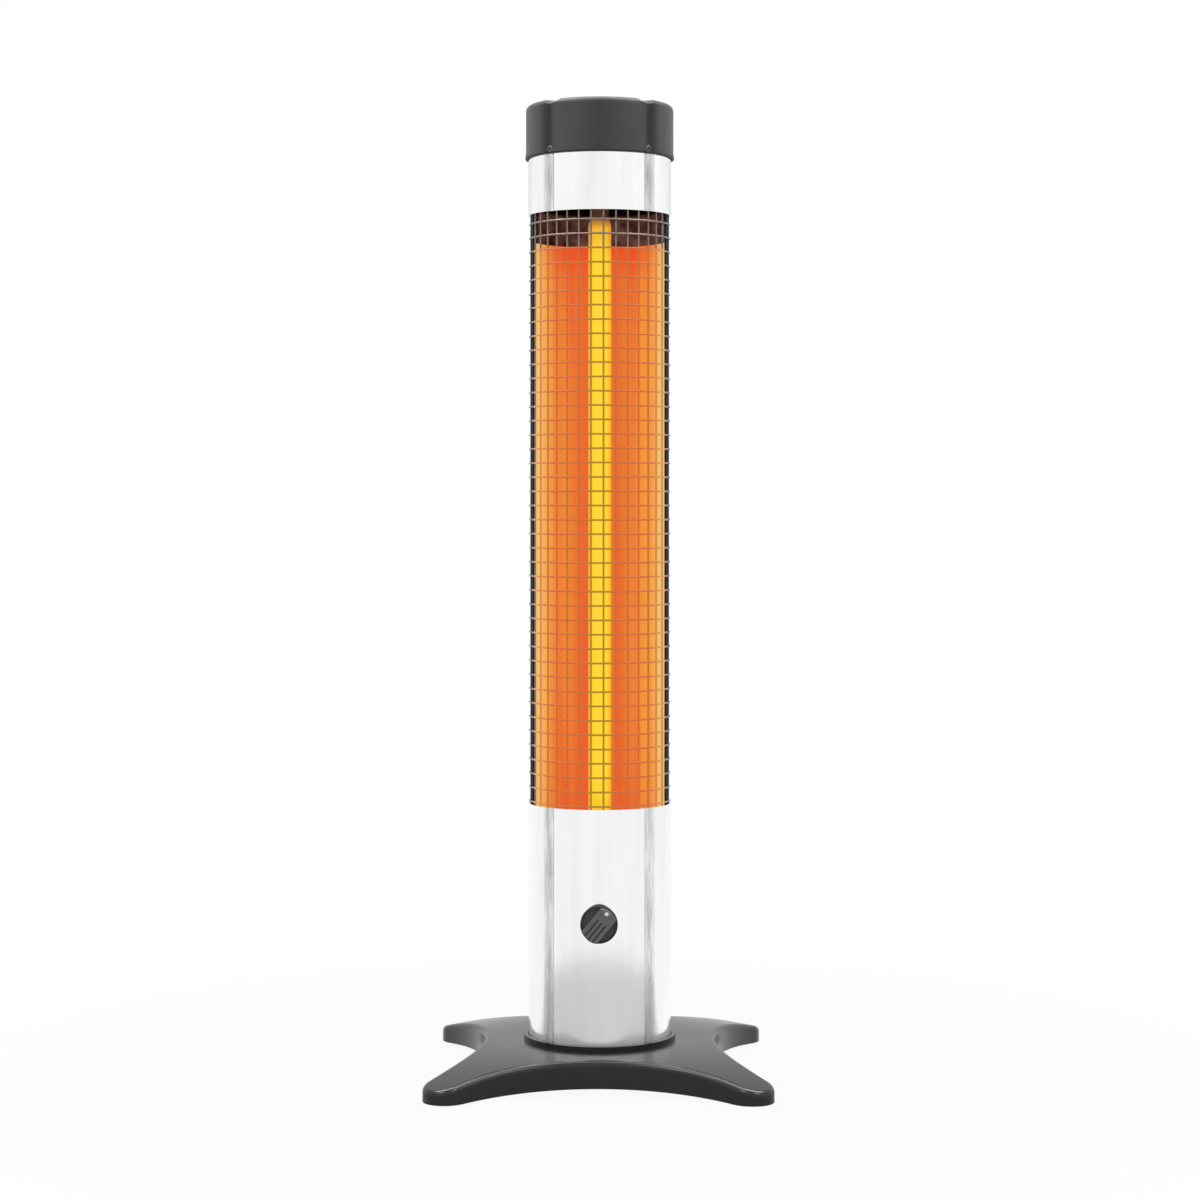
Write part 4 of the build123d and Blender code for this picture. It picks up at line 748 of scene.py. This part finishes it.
uprightPlaces = np.arange(guard["uprights"]) - (guard["uprights"] - 1) / 2
uprightAngles = np.radians(guard["uprightShift"] + guard["uprightStep"] * uprightPlaces)
crossHeights = np.arange(windowLow + guard["firstMargin"], windowHigh - 2 * guard["wireRadius"],
                         guard["pitch"])
aroundWire = np.linspace(0, 2 * pi, guard["sides"], endpoint=False)[None, :]


def crosswiseWire(height):
    # point = axis + R (sin a, -cos a) + r (cos v outwards + sin v up), r falling to 0 at both ends
    half = radians(guard["halfAngle"])
    places, radii = roundEnds(2 * half * crossRadius, guard["wireRadius"], guard["crossSteps"],
                              guard["endSteps"])
    angle = (places / crossRadius - half)[:, None]
    turns = spread.uniform(*guard["waverTurns"])
    phase = spread.uniform(0, 2 * pi)
    waver = guard["waver"] * np.cos(angle) * np.sin(angle * turns + phase)
    reach = crossRadius + radii[:, None] * np.cos(aroundWire)
    rise = height + waver + radii[:, None] * np.sin(aroundWire)
    return np.stack([reach * np.sin(angle), -reach * np.cos(angle), rise], axis=-1)


def uprightWire(angle):
    # point = axis + R (sin a, -cos a) + r (cos v outwards + sin v sideways), r falling to 0 at both ends
    places, radii = roundEnds(guardHigh.z - guardLow.z, guard["wireRadius"], guard["uprightSteps"],
                              guard["endSteps"])
    reach = uprightRadius + radii[:, None] * np.cos(aroundWire)
    across = radii[:, None] * np.sin(aroundWire)
    rise = np.broadcast_to((guardLow.z + places)[:, None], reach.shape)
    return turned(reach, across, rise, angle)


def weldBead(angle, height):
    # ellipsoid: centre + (a sin p cos q) sideways + (b sin p sin q) outwards + (c cos p) up
    polar = np.linspace(0, pi, guard["weldSides"])[:, None]
    around = np.linspace(0, 2 * pi, guard["weldSides"], endpoint=False)[None, :]
    side, out, up = guard["weldHalfSize"]
    across = side * np.sin(polar) * np.cos(around)
    reach = (crossRadius + uprightRadius) / 2 + out * np.sin(polar) * np.sin(around)
    rise = np.broadcast_to(height + up * np.cos(polar), reach.shape)
    return turned(reach, across, rise, angle)


def turned(reach, across, rise, angle):
    # points at a reach from the column's axis and a distance across, turned to an angle from ahead
    return np.stack([reach * sin(angle) + across * cos(angle), -reach * cos(angle) + across * sin(angle),
                     rise], axis=-1)


wires = [crosswiseWire(height) for height in crossHeights]
wires += [uprightWire(angle) for angle in uprightAngles]
wires += [weldBead(angle, height) for angle in uprightAngles for height in crossHeights]
makePiece("guardWires", wires, "heater", guardSteel, ["wire_guard"])
print("wire guard made:", len(crossHeights), "crosswise wires")


# Stage, lamps and camera

stageLook = {
    "floorHalf": 4.0,
    "floor": (0.48, 0.48, 0.48),
    "veil": 0.93,  # how much of the nearest floor is plain white to the camera
    "clear": 0.28,  # radius where the shadow starts to fade out
    "fade": 0.35,
    "mirrored": 0.55,  # radius of the lit floor that shiny pieces show; white beyond
    "mirroredFade": 0.06,
    "mirroredFront": 0.11,  # how far in front of the heater the lit floor is centred
    "mirroredBack": 0.0,  # behind this line shiny pieces show white floor
}


def makeFloor():
    # pale floor that keeps the shadow near the heater and runs out into white
    finish = newFinish("paleFloor")
    x, y = finish.axes()[:2]
    away = (x * x + y * y) ** 0.5
    far = ((away - stageLook["clear"]) / stageLook["fade"]).clipped()
    toCamera = stageLook["veil"] + (1 - stageLook["veil"]) * far
    ahead = y + stageLook["mirroredFront"]
    fromLit = (x * x + ahead * ahead) ** 0.5
    outside = ((fromLit - stageLook["mirrored"]) / stageLook["mirroredFade"]).clipped()
    behind = ((y - stageLook["mirroredBack"]) / stageLook["mirroredFade"]).clipped()
    toGloss = (outside + behind).clipped()
    share = (finish.ray("Is Camera Ray") * toCamera + finish.shinyRay() * toGloss).clipped()
    matt = finish.node("ShaderNodeBsdfDiffuse", {}, {"Color": (*stageLook["floor"], 1)})
    white = finish.node("ShaderNodeEmission", {}, {"Color": (1, 1, 1, 1), "Strength": 1.0})
    mixed = finish.node("ShaderNodeMixShader", {}, {0: share, 1: matt, 2: white})
    finish.node("ShaderNodeOutputMaterial", {}, {"Surface": mixed})
    half = stageLook["floorHalf"]
    corners = [(-half, -half, 0), (half, -half, 0), (half, half, 0), (-half, half, 0)]
    mesh = bpy.data.meshes.new("floor")
    mesh.from_pydata(corners, [], [(0, 1, 2, 3)])
    mesh.materials.append(finish.owner)
    floor = bpy.data.objects.new("floor", mesh)
    bpy.context.scene.collection.objects.link(floor)


studio = {
    "lighting": 0.55,
    "behind": 0.22,  # how much greyer the wall right behind the heater is in reflections
    "wallEdge": 0.72,  # cosine of the angle from straight behind where it turns white
}


def makeWorld():
    # white to the camera; white in reflections but for a grey wall behind; lower as a lamp
    finish = Finish(bpy.data.worlds.new("studio"))
    bpy.context.scene.world = finish.owner
    towards = finish.node("ShaderNodeTexCoord", {}, {}, "Generated")
    backwards = finish.node("ShaderNodeSeparateXYZ", {}, {0: towards}, 1)
    wall = ((backwards - studio["wallEdge"]) / (1 - studio["wallEdge"])).clipped()
    shiny = finish.shinyRay()
    seen = (finish.ray("Is Camera Ray") + shiny).clipped()
    strength = 1 - studio["behind"] * wall * shiny
    soft = finish.node("ShaderNodeBackground", {}, {"Color": (1, 1, 1, 1), "Strength": studio["lighting"]})
    white = finish.node("ShaderNodeBackground", {}, {"Color": (1, 1, 1, 1), "Strength": strength})
    mixed = finish.node("ShaderNodeMixShader", {}, {0: seen, 1: soft, 2: white})
    finish.node("ShaderNodeOutputWorld", {}, {"Surface": mixed})


lampAim = (0, 0, 0.4)
lamps = {
    "keyLamp": {"place": (-1.4, -1.7, 2.6), "size": (1.2, 1.2), "power": 24.0, "matt": True},
    "fillLamp": {"place": (1.6, -1.6, 2.4), "size": (1.2, 1.2), "power": 18.0, "matt": True},
    "topLamp": {"place": (0.0, 0.2, 2.0), "size": (3.0, 0.3), "power": 30.0, "matt": True},
    "edgeLamp": {"place": (0.0, 0.2, 2.2), "size": (3.0, 1.0), "power": 60.0, "matt": False},
}


def makeLamp(name, look):
    # a lamp that isn't matt only gives shiny edges their highlight
    lamp = bpy.data.lights.new(name, "AREA")
    lamp.shape = "RECTANGLE"
    lamp.size, lamp.size_y = look["size"]
    lamp.energy = look["power"]
    holder = bpy.data.objects.new(name, lamp)
    holder.location = look["place"]
    holder.rotation_euler = (Vector(lampAim) - holder.location).to_track_quat("-Z", "Y").to_euler()
    holder.visible_diffuse = look["matt"]
    bpy.context.scene.collection.objects.link(holder)


view = {
    "distance": 2.354,
    "height": 0.4996,
    "yaw": 0.5,  # degrees towards the heater's right-hand side
    "focalPixels": 2686.0,
    "imagePixels": 1200.0,
    "horizonPixel": 500.0,  # from the top of the image
    "axisPixel": 599.7,  # from its left side
    "sensor": 36.0,
}


def makeCamera():
    lens = bpy.data.cameras.new("view")
    lens.sensor_width = view["sensor"]
    lens.lens = view["sensor"] * view["focalPixels"] / view["imagePixels"]
    lens.shift_y = (view["horizonPixel"] - view["imagePixels"] / 2) / view["imagePixels"]
    lens.shift_x = (view["imagePixels"] / 2 - view["axisPixel"]) / view["imagePixels"]
    camera = bpy.data.objects.new("view", lens)
    turn = radians(view["yaw"])
    camera.location = (view["distance"] * sin(turn), -view["distance"] * cos(turn), view["height"])
    camera.rotation_euler = (pi / 2, 0, turn)
    bpy.context.scene.collection.objects.link(camera)
    bpy.context.scene.camera = camera


makeFloor()
makeWorld()
for name, look in lamps.items():
    makeLamp(name, look)
makeCamera()
bpy.context.scene.view_settings.view_transform = "Standard"
print("stage, lamps and camera made")
